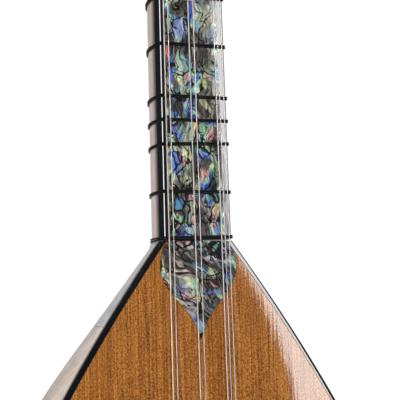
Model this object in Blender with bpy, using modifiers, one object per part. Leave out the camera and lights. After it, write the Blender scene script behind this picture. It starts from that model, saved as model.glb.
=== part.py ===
"""Short-neck baglama (saz): a seven-string lute with tied frets, built piece by piece.

Frame: +Z runs up the neck, the soundboard faces -Y, and +X is the viewer's right.
The origin is the middle of the nut's lower edge, in the plane of the fingerboard's top.
Lengths are written in millimetres and become metres where points are made.
On the body, "down" is the distance from the end of the neck towards the tail.
"""
import math

import bmesh
import bpy
from mathutils import Matrix, Vector

MM = 0.001
GAP = 0.3

# Strings: name, share of the spread from the bass side, diameter
SCALE_LENGTH = 700.0
STRINGS = (
    ("string_1", 0.00, 0.56),
    ("string_2", 0.073, 0.40),
    ("string_3", 0.43, 0.50),
    ("string_4", 0.517, 0.40),
    ("string_5", 0.871, 0.50),
    ("string_6", 0.931, 0.40),
    ("string_7", 1.00, 0.40),
)
SPREAD_AT_NUT = 23.2
SPREAD_AT_BRIDGE = 30.8
SPREAD_AT_TAIL = 22.0
SHIFT_AT_NUT = -0.6
SHIFT_AT_BRIDGE = -2.2
SHIFT_AT_TAIL = -1.5
STRING_Y_AT_NUT = -1.5
STRING_Y_AT_BRIDGE = -7.0

# Frets, as shares of the string length from the bridge
FRET_SHARES = (17 / 18, 11 / 12, 8 / 9, 68 / 81, 22 / 27, 64 / 81, 3 / 4, 17 / 24, 11 / 16, 2 / 3,
               17 / 27, 11 / 18, 16 / 27, 9 / 16, 17 / 32, 33 / 64, 1 / 2, 17 / 36, 4 / 9)
FRET_NUDGE = {15: -0.6, 16: 0.25, 17: 1.0}
FRET_TILT_DEG = {14: -0.2, 15: -0.4, 16: 0.2, 17: 1.3, 18: -0.2, 19: 0.8}
FRET_WIDTH = 1.5
FRET_HEIGHT = 0.75

# Neck and fingerboard
NECK_END = -(SCALE_LENGTH * 5 / 9 + 1.0)
NECK_TOP_END = 4.0
BOARD_HALF_AT_NUT = 12.8
BOARD_HALF_AT_END = 15.35
BOARD_THICK = 6.0
NECK_DEPTH_AT_NUT = 23.0
NECK_DEPTH_AT_END = 28.0
NECK_ARC_STEPS = 12
TENON = (12.0, 14.0, 24.0)
INLAY_BORDER = 2.5
INLAY_SHIFT = -0.4
INLAY_THICK = 0.9

# Body
BODY_LENGTH = 394.0
WIDEST_DOWN = 265.0
TAIL_REACH = 130.0
BODY_HALF_AT_NECK = 16.4
BODY_HALF_WIDEST = 125.0
SHOULDER_SLOPE = 0.755
BODY_SHIFT = 0.0
BODY_TOP = 2.0
SOUNDBOARD_THICK = 3.5
RIM = BODY_TOP + SOUNDBOARD_THICK + GAP
CROWN = 1.2
DEPTH_AT_NECK = 28.2
DEPTH_DEEPEST = 141.0
DEEPEST_DOWN = 205.0
DEPTH_SLOPE = 0.695
TAIL_FULLNESS = 2.8
TUMBLE_DEG = 12.5
TUMBLE_RUN = 67.0
HEEL_LAG = 4.7
RIB_COUNT = 9
RIB_THICK = 3.0
RIB_SEAM = 0.4
HEEL_LENGTH = 35.0
TAIL_CAP_START = 389.0
BINDING_WIDTH = 2.05
SPADE_LENGTH = 42.1
SPADE_SHIFT = 0.5
SOUND_HOLE_RADIUS = 7.0
SOUND_HOLE_DEPTH = 19.0

# Head: its front face leans back from the neck
HEAD_START = 4.3
HEAD_END = 190.0
HEAD_LEAN = math.radians(10.0)
HEAD_FRONT_Y = 3.0
FRONT_PEGS = ((28.0, 3), (72.0, 4), (116.0, 5), (160.0, 6))
SIDE_PEGS = ((50.0, 0), (94.0, 1), (138.0, 2))
FRONT_PEG_X = 3.0
SIDE_PEG_DEPTH = 10.0
PEG_HOLE_RADIUS = 4.1
PEG_SHAFT_RADIUS = 3.5
PEG_SIDES = 12
PEG_TURNS_DEG = (12, -20, 35, -8, 24, -32, 5)
WINDING_HEIGHT = 5.0

COLORS = {
    "maple": ((0.56, 0.46, 0.39), 0.3),
    "bowl_wood": ((0.54, 0.42, 0.33), 0.3),
    "cedar": ((0.36, 0.15, 0.04), 0.35),
    "ebony": ((0.012, 0.012, 0.013), 0.2),
    "shell": ((0.12, 0.17, 0.19), 0.2),
    "nylon": ((0.01, 0.01, 0.011), 0.35),
    "steel": ((0.62, 0.57, 0.50), 0.3),
    "bone": ((0.80, 0.74, 0.62), 0.4),
    "spruce": ((0.62, 0.46, 0.28), 0.6),
    "rosewood": ((0.08, 0.03, 0.02), 0.3),
}


def clear_scene():
    for obj in list(bpy.data.objects):
        bpy.data.objects.remove(obj, do_unlink=True)


def new_collection(name):
    collection = bpy.data.collections.new(name)
    bpy.context.scene.collection.children.link(collection)
    return collection


def material(name):
    found = bpy.data.materials.get(name)
    if found:
        return found
    color, roughness = COLORS[name]
    made = bpy.data.materials.new(name)
    made.use_nodes = True
    shader = made.node_tree.nodes["Principled BSDF"]
    shader.inputs["Base Color"].default_value = (*color, 1.0)
    shader.inputs["Roughness"].default_value = roughness
    shader.inputs["Metallic"].default_value = 1.0 if name == "steel" else 0.0
    return made


def smoothstep(value):
    value = min(max(value, 0.0), 1.0)
    return value * value * (3.0 - 2.0 * value)


def mix(a, b, share):
    return a + (b - a) * share


def hermite(share, start, start_slope, end, length):
    """A cubic from start, with a slope, to end, where it is level."""
    t = min(max(share, 0.0), 1.0)
    rise = t * t * (3.0 - 2.0 * t)
    lift = t * (1.0 - t) ** 2
    return start * (1.0 - rise) + end * rise + start_slope * length * lift


def world(x, y, z):
    return Vector((x * MM, y * MM, z * MM))


# ---------------------------------------------------------------- making objects

def mesh_object(name, mesh, finish, collection):
    obj = bpy.data.objects.new(name, mesh)
    collection.objects.link(obj)
    if not mesh.materials:
        mesh.materials.append(material(finish))
    return obj


def loft(name, rings, finish, collection, sharp_deg=35.0):
    """Skin a row of closed rings with the same number of points, and cap both ends."""
    bm = bmesh.new()
    rows = [[bm.verts.new(point) for point in ring] for ring in rings]
    for row, following in zip(rows, rows[1:]):
        for i in range(len(row)):
            j = (i + 1) % len(row)
            bm.faces.new((row[i], row[j], following[j], following[i]))
    bm.faces.new(rows[0])
    bm.faces.new(rows[-1])
    bmesh.ops.recalc_face_normals(bm, faces=bm.faces)
    mesh = bpy.data.meshes.new(name)
    bm.to_mesh(mesh)
    bm.free()
    mesh.shade_smooth()
    mesh.set_sharp_from_angle(angle=math.radians(sharp_deg))
    return mesh_object(name, mesh, finish, collection)


def plate(name, outlines, low, high, finish, collection, facing="Z"):
    """A flat outline, or several where inner ones are holes, extruded between two planes.

    facing Z: outlines are (x, y) and the plate runs from z = low to high.
    facing Y: outlines are (x, z) and the plate runs from y = low to high.
    """
    curve = bpy.data.curves.new(name, "CURVE")
    curve.dimensions = "2D"
    curve.fill_mode = "BOTH"
    curve.resolution_u = 1
    curve.render_resolution_u = 0
    curve.extrude = (high - low) / 2.0 * MM
    for outline in outlines:
        spline = curve.splines.new("POLY")
        spline.points.add(len(outline) - 1)
        for point, (u, v) in zip(spline.points, outline):
            point.co = (u * MM, v * MM, 0.0, 1.0)
        spline.use_cyclic_u = True
    obj = bpy.data.objects.new(name, curve)
    collection.objects.link(obj)
    curve.materials.append(material(finish))
    middle = (low + high) / 2.0 * MM
    if facing == "Y":
        obj.rotation_euler = (math.pi / 2.0, 0.0, 0.0)
        obj.location = (0.0, middle, 0.0)
    else:
        obj.location = (0.0, 0.0, middle)
    return obj


def wire(name, points, radius, finish, collection):
    curve = bpy.data.curves.new(name, "CURVE")
    curve.dimensions = "3D"
    curve.bevel_depth = radius * MM
    curve.bevel_resolution = 2
    curve.use_fill_caps = True
    curve.resolution_u = 1
    curve.render_resolution_u = 0
    spline = curve.splines.new("POLY")
    spline.points.add(len(points) - 1)
    for point, place in zip(spline.points, points):
        point.co = (*place, 1.0)
    obj = bpy.data.objects.new(name, curve)
    collection.objects.link(obj)
    curve.materials.append(material(finish))
    return obj


def cutter_box(name, size, center, cutters):
    bm = bmesh.new()
    bmesh.ops.create_cube(bm, size=1.0)
    bmesh.ops.scale(bm, vec=Vector(size) * MM, verts=bm.verts)
    bmesh.ops.translate(bm, vec=Vector(center) * MM, verts=bm.verts)
    return finish_cutter(name, bm, cutters)


def cutter_rod(name, radius, length, place, cutters):
    """A round cutter whose local Z axis is put in place by a matrix in metres."""
    bm = bmesh.new()
    bmesh.ops.create_cone(bm, cap_ends=True, segments=PEG_SIDES, radius1=radius * MM,
                          radius2=radius * MM, depth=length * MM)
    bmesh.ops.transform(bm, matrix=place, verts=bm.verts)
    return finish_cutter(name, bm, cutters)


def finish_cutter(name, bm, cutters):
    mesh = bpy.data.meshes.new(name)
    bm.to_mesh(mesh)
    bm.free()
    obj = bpy.data.objects.new(name, mesh)
    cutters.objects.link(obj)
    obj.hide_render = True
    obj.display_type = "WIRE"
    return obj


def combine(obj, other, operation="DIFFERENCE"):
    modifier = obj.modifiers.new(other.name, "BOOLEAN")
    modifier.object = other
    modifier.operation = operation
    modifier.solver = "EXACT"


# ---------------------------------------------------------------- body form

def body_z(down):
    return NECK_END - down


def half_width(down):
    if down <= WIDEST_DOWN:
        return hermite(down / WIDEST_DOWN, BODY_HALF_AT_NECK, SHOULDER_SLOPE, BODY_HALF_WIDEST,
                       WIDEST_DOWN)
    reach = (down - WIDEST_DOWN) / TAIL_REACH
    return BODY_HALF_WIDEST * math.sqrt(max(1.0 - reach * reach, 0.0))


def width_slope(down):
    step = 0.05
    return (half_width(down + step) - half_width(down - step)) / (2.0 * step)


def bowl_depth(down):
    if down <= DEEPEST_DOWN:
        return hermite(down / DEEPEST_DOWN, DEPTH_AT_NECK, DEPTH_SLOPE, DEPTH_DEEPEST, DEEPEST_DOWN)
    reach = (down - DEEPEST_DOWN) / (WIDEST_DOWN + TAIL_REACH - DEEPEST_DOWN)
    return DEPTH_DEEPEST * (1.0 - reach ** TAIL_FULLNESS) ** (1.0 / TAIL_FULLNESS)


def bowl_point(down, share, inset=0.0):
    """A point on the bowl's section: share runs from the right rim round to the left rim."""
    tumble = math.radians(TUMBLE_DEG) * smoothstep(down / TUMBLE_RUN)
    depth_radius = bowl_depth(down) / (1.0 + math.sin(tumble))
    middle = depth_radius * math.sin(tumble)
    rim_angle = math.asin(min(middle / (depth_radius - inset), 1.0))
    angle = -rim_angle + share * (math.pi + 2.0 * rim_angle)
    lagged = max(down - HEEL_LAG * max(math.sin(angle), 0.0), 0.0)
    width_radius = half_width(lagged) / math.cos(tumble) - inset
    x = BODY_SHIFT + width_radius * math.cos(angle)
    y = RIM + middle + (depth_radius - inset) * math.sin(angle)
    return world(x, y, body_z(down))


def wall_inset(down):
    """The rib's thickness in the section's plane, which grows where the bowl closes."""
    return RIB_THICK * min(math.hypot(1.0, width_slope(down)), 3.4)


def crown(down):
    return CROWN * smoothstep(down / 200.0) * smoothstep((BODY_LENGTH + 10.0 - down) / 60.0)


def board_top(x, down):
    across = min(abs(x - BODY_SHIFT) / half_width(down), 1.0)
    return BODY_TOP - crown(down) * (1.0 - across * across)


def half_outline(inset, start, upper_steps=20, tail_steps=14):
    """Half of the body's outline, set in by a distance, from the neck to the tail.

    Points are (distance from the body's middle line, down).
    """
    points = []
    for i in range(upper_steps):
        down = mix(start, WIDEST_DOWN, i / upper_steps)
        points.append((half_width(down) - inset * math.hypot(1.0, width_slope(down)), down))
    last = math.asin((BODY_LENGTH - WIDEST_DOWN) / TAIL_REACH)
    for i in range(tail_steps + 1):
        turn = last * i / tail_steps
        normal = Vector((TAIL_REACH * math.cos(turn), BODY_HALF_WIDEST * math.sin(turn))).normalized()
        points.append((BODY_HALF_WIDEST * math.cos(turn) - inset * normal.x,
                       WIDEST_DOWN + TAIL_REACH * math.sin(turn) - inset * normal.y))
    return points


def rib_stations():
    upper = [mix(HEEL_LENGTH + GAP, WIDEST_DOWN, i / 11) for i in range(11)]
    last = math.asin((TAIL_CAP_START - WIDEST_DOWN) / TAIL_REACH)
    return upper + [WIDEST_DOWN + TAIL_REACH * math.sin(last * i / 9) for i in range(10)]


# ---------------------------------------------------------------- body pieces

def make_ribs(parts):
    steps = 3
    for index in range(RIB_COUNT):
        rings = []
        for down in rib_stations():
            girth = (bowl_point(down, 0.5) - bowl_point(down, 0.0)).length / MM * 2.2
            seam = RIB_SEAM / 2.0 / girth
            start = index / RIB_COUNT + (seam if index else 0.0)
            end = (index + 1) / RIB_COUNT - (seam if index < RIB_COUNT - 1 else 0.0)
            shares = [mix(start, end, i / steps) for i in range(steps + 1)]
            outer = [bowl_point(down, share) for share in shares]
            inner = [bowl_point(down, share, wall_inset(down)) for share in reversed(shares)]
            rings.append(outer + inner)
        loft(f"rib_{index + 1}", rings, "bowl_wood", parts)


def section_ring(down, inset=0.0, steps=18):
    return [bowl_point(down, i / steps, inset) for i in range(steps + 1)]


def make_neck_block(parts, cutters):
    """The heel seen between the neck and the ribs, with a step inside that the ribs lie on."""
    rings = [section_ring(mix(GAP, HEEL_LENGTH, i / 6)) for i in range(7)]
    step_downs = (HEEL_LENGTH + 0.1, 43.0, 50.0, 58.0)
    rings += [section_ring(down, wall_inset(down) + GAP * 2) for down in step_downs]
    block = loft("neck_block", rings, "maple", parts)
    width, height, length = TENON
    mortise = cutter_box("mortise", (width + 2 * GAP, height + 2 * GAP, length + 2 * GAP + 2.0),
                         (0.0, RIM + 5.0 + height / 2.0, NECK_END - length / 2.0 - GAP + 1.0), cutters)
    combine(block, mortise)


def make_tail(parts, cutters):
    hole = Matrix.Translation(world(0.0, RIM + SOUND_HOLE_DEPTH, body_z(BODY_LENGTH - 15.0)))
    drill = cutter_rod("sound_hole_cutter", SOUND_HOLE_RADIUS, 60.0, hole, cutters)
    clearance = 1.5
    block_downs = [down for down in rib_stations() if 370.0 < down < TAIL_CAP_START - 1.0]
    block_downs += [TAIL_CAP_START - GAP]
    rings = [section_ring(down, wall_inset(down) + clearance) for down in block_downs]
    block = loft("tail_block", rings, "spruce", parts)
    combine(block, drill)
    cap_downs = (TAIL_CAP_START + GAP, 390.5, 391.8, 393.0, BODY_LENGTH)
    cap = loft("tail_cap", [section_ring(down) for down in cap_downs], "rosewood", parts)
    combine(cap, drill)
    tail_z = body_z(BODY_LENGTH)
    outline = [(-15.0, -1.0), (15.0, -1.0), (13.0, 13.5), (-13.0, 13.5)]
    plate("tailpiece", [outline], tail_z - GAP - 5.5, tail_z - GAP, "rosewood", parts)


def make_linings(parts):
    """A strip along each rim inside the ribs, which carries the soundboard's edge."""
    width, height, clearance = 5.0, 8.0, 1.0
    downs = [60.0] + [down for down in rib_stations() if 65.0 < down < 365.0] + [368.0]
    for side, name in ((-1, "lining_left"), (1, "lining_right")):
        rings = []
        for down in downs:
            outer = half_width(down) - wall_inset(down) - clearance
            inner = outer - width * math.hypot(1.0, width_slope(down))
            z = body_z(down)
            outer_x = BODY_SHIFT + side * outer
            inner_x = BODY_SHIFT + side * inner
            rings.append([world(outer_x, RIM, z), world(inner_x, RIM, z),
                          world(inner_x, RIM + height, z), world(outer_x, RIM + height, z)])
        loft(name, rings, "spruce", parts)


def make_braces(parts):
    for name, down in (("brace_upper", 215.0), ("brace_lower", 345.0)):
        reach = half_width(down + 4.0) - wall_inset(down + 4.0) - 5.0 * math.hypot(1, width_slope(down)) - 2.0
        reach = min(reach, half_width(down - 4.0) - 10.0)
        steps = 10
        xs = [BODY_SHIFT + mix(-reach, reach, i / steps) for i in range(steps + 1)]
        top = [(x, board_top(x, down) + SOUNDBOARD_THICK + GAP + 0.1) for x in xs]
        low = RIM + 9.0
        outline = top + [(xs[-1] - 14.0, low), (xs[0] + 14.0, low)]
        plate(name, [outline], body_z(down) - 4.0, body_z(down) + 4.0, "spruce", parts)


def spade_outline(grow=0.0):
    """The ornament's edge: straight from the neck, a full belly, then a hollow run to its point."""
    side = [(13.6, 0.5), (16.1, 4.0), (17.1, 7.6), (17.5, 10.8), (16.9, 14.8), (15.3, 18.6),
            (12.5, 22.6), (9.2, 26.4), (5.9, 30.2), (3.4, 33.8), (1.6, 37.8)]
    half = [(x + grow, down + (grow * 0.5 if x < 15.0 else 0.0)) for x, down in side]
    half[0] = (half[0][0], side[0][1] - grow)
    right = [(SPADE_SHIFT + x, down) for x, down in half]
    tip = [(SPADE_SHIFT, SPADE_LENGTH + 2.0 * grow)]
    return right + tip + [(SPADE_SHIFT - x, down) for x, down in reversed(half)]


def make_soundboard(parts, cutters):
    rings = []
    steps = 8
    for x_edge, down in half_outline(BINDING_WIDTH + GAP, GAP * 2):
        z = body_z(down)
        section = []
        for i in range(steps + 1):
            share = mix(-1.0, 1.0, i / steps)
            y = board_top(BODY_SHIFT + share * half_width(down), down)
            section.append((BODY_SHIFT + share * x_edge, y))
        top = [world(x, y, z) for x, y in section]
        bottom = [world(x, y + SOUNDBOARD_THICK, z) for x, y in reversed(section)]
        rings.append(top + bottom)
    board = loft("soundboard", rings, "cedar", parts)
    bm = bmesh.new()
    grown = spade_outline(GAP)
    for y in (BODY_TOP - 3.0, BODY_TOP + INLAY_THICK + GAP):
        bm.faces.new([bm.verts.new(world(x, y, body_z(down))) for x, down in grown])
    bm.verts.ensure_lookup_table()
    count = len(grown)
    for i in range(count):
        j = (i + 1) % count
        bm.faces.new((bm.verts[i], bm.verts[j], bm.verts[count + j], bm.verts[count + i]))
    bmesh.ops.recalc_face_normals(bm, faces=bm.faces)
    combine(board, finish_cutter("spade_recess", bm, cutters))


def make_trim(parts):
    """The binding round the soundboard, and the spade ornament let into it."""
    outer = half_outline(0.0, GAP * 2)
    inner = half_outline(BINDING_WIDTH, GAP * 2)
    outer_right = [(BODY_SHIFT + out, body_z(down)) for out, down in outer]
    outer_left = [(BODY_SHIFT - out, body_z(down)) for out, down in reversed(outer)]
    inner_left = [(BODY_SHIFT - out, body_z(down)) for out, down in inner]
    inner_right = [(BODY_SHIFT + out, body_z(down)) for out, down in reversed(inner)]
    outline = outer_right + outer_left + inner_left + inner_right
    plate("binding", [outline], BODY_TOP, BODY_TOP + SOUNDBOARD_THICK, "ebony", parts, facing="Y")
    spade = [(x, body_z(down)) for x, down in spade_outline()]
    plate("spade_inlay", [spade], BODY_TOP - 0.1, BODY_TOP - 0.1 + INLAY_THICK, "shell", parts, facing="Y")


# ---------------------------------------------------------------- neck pieces

def board_half(z):
    return mix(BOARD_HALF_AT_NUT, BOARD_HALF_AT_END, min(max(z / NECK_END, 0.0), 1.0))


def neck_depth(z):
    return mix(NECK_DEPTH_AT_NUT, NECK_DEPTH_AT_END, min(max(z / NECK_END, 0.0), 1.0))


def neck_back(z, grow=0.0):
    """The round back of the neck as (x, y) points, from the right edge to the left."""
    half = board_half(z) + grow
    top = BOARD_THICK + GAP
    depth = neck_depth(z) + grow
    return [(half * math.cos(math.pi * i / NECK_ARC_STEPS),
             top + depth * math.sin(math.pi * i / NECK_ARC_STEPS)) for i in range(NECK_ARC_STEPS + 1)]


def make_neck(parts, cutters):
    rings = []
    for i in range(5):
        z = mix(NECK_END, NECK_TOP_END, i / 4)
        rings.append([world(x, y, z) for x, y in neck_back(z)])
    neck = loft("neck", rings, "maple", parts)
    width, height, length = TENON
    tenon = cutter_box("tenon", (width, height, length + 10.0),
                       (0.0, RIM + 5.0 + height / 2.0, NECK_END + 5.0 - length / 2.0), cutters)
    combine(neck, tenon, "UNION")


def make_fingerboard(parts, cutters):
    top_z = -GAP
    rings = []
    for z in (NECK_END, top_z):
        half = board_half(z)
        rings.append([world(-half, 0.0, z), world(half, 0.0, z),
                      world(half, BOARD_THICK, z), world(-half, BOARD_THICK, z)])
    board = loft("fingerboard", rings, "ebony", parts)

    def strip(low_z, high_z, grow):
        low = board_half(low_z) - INLAY_BORDER + grow
        high = board_half(high_z) - INLAY_BORDER + grow
        return [(INLAY_SHIFT - low, low_z), (INLAY_SHIFT + low, low_z),
                (INLAY_SHIFT + high, high_z), (INLAY_SHIFT - high, high_z)]

    inlay_low = NECK_END + 1.0
    inlay_high = -4.0
    bm = bmesh.new()
    rows = [[bm.verts.new(world(x, y, z)) for x, z in strip(inlay_low - 6.0, inlay_high + GAP, GAP)]
            for y in (-3.0, INLAY_THICK + GAP)]
    for i in range(4):
        j = (i + 1) % 4
        bm.faces.new((rows[0][i], rows[0][j], rows[1][j], rows[1][i]))
    bm.faces.new(rows[0])
    bm.faces.new(rows[1])
    bmesh.ops.recalc_face_normals(bm, faces=bm.faces)
    combine(board, finish_cutter("inlay_channel", bm, cutters))
    plate("fingerboard_inlay", [strip(inlay_low, inlay_high, 0.0)], 0.0, INLAY_THICK, "shell", parts,
          facing="Y")


def fret_z(number):
    share = FRET_SHARES[number - 1]
    return (share - 1.0) * SCALE_LENGTH + FRET_NUDGE.get(number, 0.0)


def make_frets(parts):
    """Each fret is a closed band tied round the neck and fingerboard, a little loose on them."""
    for number in range(1, len(FRET_SHARES) + 1):
        z = fret_z(number)
        outlines = []
        for grow in (GAP + FRET_HEIGHT, GAP):
            half = board_half(z) + grow
            outlines.append([(-half, -grow), (half, -grow)] + neck_back(z, grow))
        band = plate(f"fret_{number:02d}", outlines, z - FRET_WIDTH / 2.0, z + FRET_WIDTH / 2.0,
                     "nylon", parts)
        band.rotation_euler = (0.0, -math.radians(FRET_TILT_DEG.get(number, 0.0)), 0.0)


def make_nut(parts):
    bpy.ops.mesh.primitive_cube_add(size=1.0, location=world(0.0, 2.5, 2.0))
    nut = bpy.context.active_object
    nut.name = "nut"
    nut.data.name = "nut"
    for vertex in nut.data.vertices:
        vertex.co = Vector((vertex.co.x * 25.4, vertex.co.y * 7.0, vertex.co.z * 3.8)) * MM
    for owner in list(nut.users_collection):
        owner.objects.unlink(nut)
    parts.objects.link(nut)
    nut.data.materials.append(material("bone"))
    bevel = nut.modifiers.new("rounded", "BEVEL")
    bevel.width = 0.6 * MM
    bevel.segments = 2


def make_bridge(parts):
    half, thick = 21.0, 3.5
    z = -SCALE_LENGTH
    foot = board_top(0.0, NECK_END - z) - GAP
    top = STRING_Y_AT_BRIDGE + 0.8
    arch = [(11.0 * math.cos(math.pi * i / 8), foot - 2.6 * math.sin(math.pi * i / 8)) for i in range(9)]
    outline = [(half, foot)] + arch + [(-half, foot), (-half, foot - 2.0), (-half + 3.0, top),
                                       (half - 3.0, top), (half, foot - 2.0)]
    plate("bridge", [outline], z - thick / 2.0, z + thick / 2.0, "bone", parts)


# ---------------------------------------------------------------- head, pegs and strings

def head_front(z):
    return HEAD_FRONT_Y + (z - HEAD_START) * math.tan(HEAD_LEAN)


def head_half(z):
    if z < 16.0:
        return mix(12.4, 10.5, smoothstep((z - HEAD_START) / 11.7))
    return mix(10.5, 9.5, (z - 16.0) / (HEAD_END - 16.0))


def head_thick(z):
    return mix(26.0, mix(21.0, 17.0, (z - 30.0) / 160.0), smoothstep((z - HEAD_START) / 25.7))


def head_ring(z, shrink=0.0):
    half = head_half(z) - shrink
    front = head_front(z) + shrink
    back = head_front(z) + head_thick(z) - shrink
    back_radius = mix(half - 0.3, 6.0, smoothstep((z - HEAD_START) / 40.0))
    corners = ((half, front, 1.6, -90.0), (half, back, back_radius, 0.0),
               (-half, back, back_radius, 90.0), (-half, front, 1.6, 180.0))
    ring = []
    for x, y, radius, start in corners:
        middle_x = x - math.copysign(radius, x)
        middle_y = y + radius if y == front else y - radius
        for i in range(5):
            turn = math.radians(start + 22.5 * i)
            ring.append(world(middle_x + radius * math.cos(turn), middle_y + radius * math.sin(turn), z))
    return ring


def front_peg_frame(z):
    """Local Z leaves the head's front face at its peg hole, along the face's normal."""
    outward = Vector((0.0, -math.cos(HEAD_LEAN), math.sin(HEAD_LEAN)))
    across = Vector((1.0, 0.0, 0.0))
    return frame_matrix(across, outward, world(FRONT_PEG_X, head_front(z), z))


def side_peg_frame(z):
    """Local Z leaves the head's bass side at its peg hole."""
    outward = Vector((-1.0, 0.0, 0.0))
    across = Vector((0.0, 0.0, 1.0))
    return frame_matrix(across, outward, world(-head_half(z), head_front(z) + SIDE_PEG_DEPTH, z))


def frame_matrix(across, outward, place):
    side = outward.cross(across)
    matrix = Matrix((across, side, outward)).transposed().to_4x4()
    matrix.translation = place
    return matrix


def make_head(parts, cutters):
    zs = (HEAD_START, 8.0, 12.0, 16.0, 22.0, 30.0, 44.0, 100.0, HEAD_END - 5.0)
    rings = [head_ring(z) for z in zs]
    rings += [head_ring(HEAD_END - 2.0, 0.8), head_ring(HEAD_END, 3.0)]
    head = loft("head", rings, "maple", parts)
    for index, (z, _string) in enumerate(FRONT_PEGS):
        drill = cutter_rod(f"front_peg_hole_{index + 1}", PEG_HOLE_RADIUS, 70.0, front_peg_frame(z), cutters)
        combine(head, drill)
    for index, (z, _string) in enumerate(SIDE_PEGS):
        drill = cutter_rod(f"side_peg_hole_{index + 1}", PEG_HOLE_RADIUS, 70.0, side_peg_frame(z), cutters)
        combine(head, drill)


def turned(name, profile, collection):
    """A solid of revolution about local Z from (radius, height) points, top to bottom."""
    mesh = bpy.data.meshes.new(name)
    points = [(radius * MM, 0.0, height * MM) for radius, height in profile]
    mesh.from_pydata(points, [(i, i + 1) for i in range(len(points) - 1)], [])
    obj = bpy.data.objects.new(name, mesh)
    collection.objects.link(obj)
    screw = obj.modifiers.new("turn", "SCREW")
    screw.steps = PEG_SIDES
    screw.render_steps = PEG_SIDES
    screw.use_merge_vertices = True
    screw.merge_threshold = 0.00005
    screw.use_normal_calculate = True
    return obj


def peg_mesh(cutters):
    """A turned shaft and collar, with a rounded cross handle joined on."""
    r = PEG_SHAFT_RADIUS
    shaft_profile = [(0.0, 20.0), (2.8, 19.0), (3.2, 15.5), (4.9, 13.0), (4.9, 11.2), (r + 0.1, 10.0),
                     (r, 0.0), (r - 0.5, -24.0), (r - 0.9, -25.0), (0.0, -25.0)]
    shaft = turned("peg_shaft_form", shaft_profile, cutters)
    bm = bmesh.new()
    bmesh.ops.create_uvsphere(bm, u_segments=12, v_segments=7, radius=1.0)
    bmesh.ops.rotate(bm, matrix=Matrix.Rotation(math.pi / 2.0, 3, "Y"), verts=bm.verts)
    bmesh.ops.scale(bm, vec=Vector((13.5, 4.6, 6.2)) * MM, verts=bm.verts)
    bmesh.ops.translate(bm, vec=Vector((0.0, 0.0, 20.5)) * MM, verts=bm.verts)
    handle = finish_cutter("peg_handle_form", bm, cutters)
    combine(shaft, handle, "UNION")
    bpy.context.view_layer.update()
    evaluated = shaft.evaluated_get(bpy.context.evaluated_depsgraph_get())
    mesh = bpy.data.meshes.new_from_object(evaluated)
    mesh.name = "peg"
    mesh.shade_smooth()
    mesh.set_sharp_from_angle(angle=math.radians(40.0))
    mesh.materials.clear()
    mesh.materials.append(material("rosewood"))
    bpy.data.objects.remove(shaft, do_unlink=True)
    bpy.data.objects.remove(handle, do_unlink=True)
    return mesh


def make_pegs(parts, cutters):
    mesh = peg_mesh(cutters)
    frames = [(front_peg_frame(z), index) for z, index in FRONT_PEGS]
    frames += [(side_peg_frame(z), index) for z, index in SIDE_PEGS]
    for frame, index in sorted(frames, key=lambda entry: entry[1]):
        peg = mesh_object(f"peg_{index + 1}", mesh, "rosewood", parts)
        peg.matrix_world = frame @ Matrix.Rotation(math.radians(PEG_TURNS_DEG[index]), 4, "Z")


def string_x(share, spread, shift):
    return shift + (share - 0.5) * spread


def string_path(index):
    """From the tailpiece over the bridge and nut to the peg that tightens the string."""
    _name, share, diameter = STRINGS[index]
    tail = world(string_x(share, SPREAD_AT_TAIL, SHIFT_AT_TAIL), 0.6, body_z(BODY_LENGTH) + 0.1)
    bridge = world(string_x(share, SPREAD_AT_BRIDGE, SHIFT_AT_BRIDGE), STRING_Y_AT_BRIDGE, -SCALE_LENGTH)
    nut = world(string_x(share, SPREAD_AT_NUT, SHIFT_AT_NUT), STRING_Y_AT_NUT, NECK_TOP_END)
    stand_off = PEG_SHAFT_RADIUS + 0.1 + GAP + diameter / 2.0
    for z, string in FRONT_PEGS:
        if string == index:
            side = -1.0 if index == 3 else 1.0
            place = front_peg_frame(z) @ (Vector((side * stand_off, 0.0, WINDING_HEIGHT)) * MM)
            return [tail, bridge, nut, place]
    z = next(z for z, string in SIDE_PEGS if string == index)
    edge_z = z - 22.0
    edge = world(-head_half(edge_z) - 0.7, head_front(edge_z) - 0.6, edge_z)
    end = world(-head_half(z) - WINDING_HEIGHT, head_front(z) + SIDE_PEG_DEPTH - stand_off, z)
    return [tail, bridge, nut, edge, end]


def make_strings(parts):
    for index, (name, _share, diameter) in enumerate(STRINGS):
        wire(name, string_path(index), diameter / 2.0, "steel", parts)


def main():
    clear_scene()
    parts = new_collection("baglama")
    cutters = new_collection("cutters")
    make_ribs(parts)
    make_neck_block(parts, cutters)
    make_tail(parts, cutters)
    make_linings(parts)
    make_braces(parts)
    make_soundboard(parts, cutters)
    make_trim(parts)
    make_neck(parts, cutters)
    make_fingerboard(parts, cutters)
    make_frets(parts)
    make_nut(parts)
    make_bridge(parts)
    make_head(parts, cutters)
    make_pegs(parts, cutters)
    make_strings(parts)


main()
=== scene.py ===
"""Short-neck baglama: its visual pieces, materials, studio and camera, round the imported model.

Frame: +Z runs up the neck, the soundboard faces -Y, and +X is the viewer's right.
Lengths are written in millimetres and become metres where meshes are made.
On the body, "down" is the distance from the end of the neck towards the tail.
"""
import random
from math import asin, atan2, copysign, cos, dist, hypot, pi, radians, sin, sqrt, tan, tau

import bmesh
import bpy
from mathutils import Matrix, Vector


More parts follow.
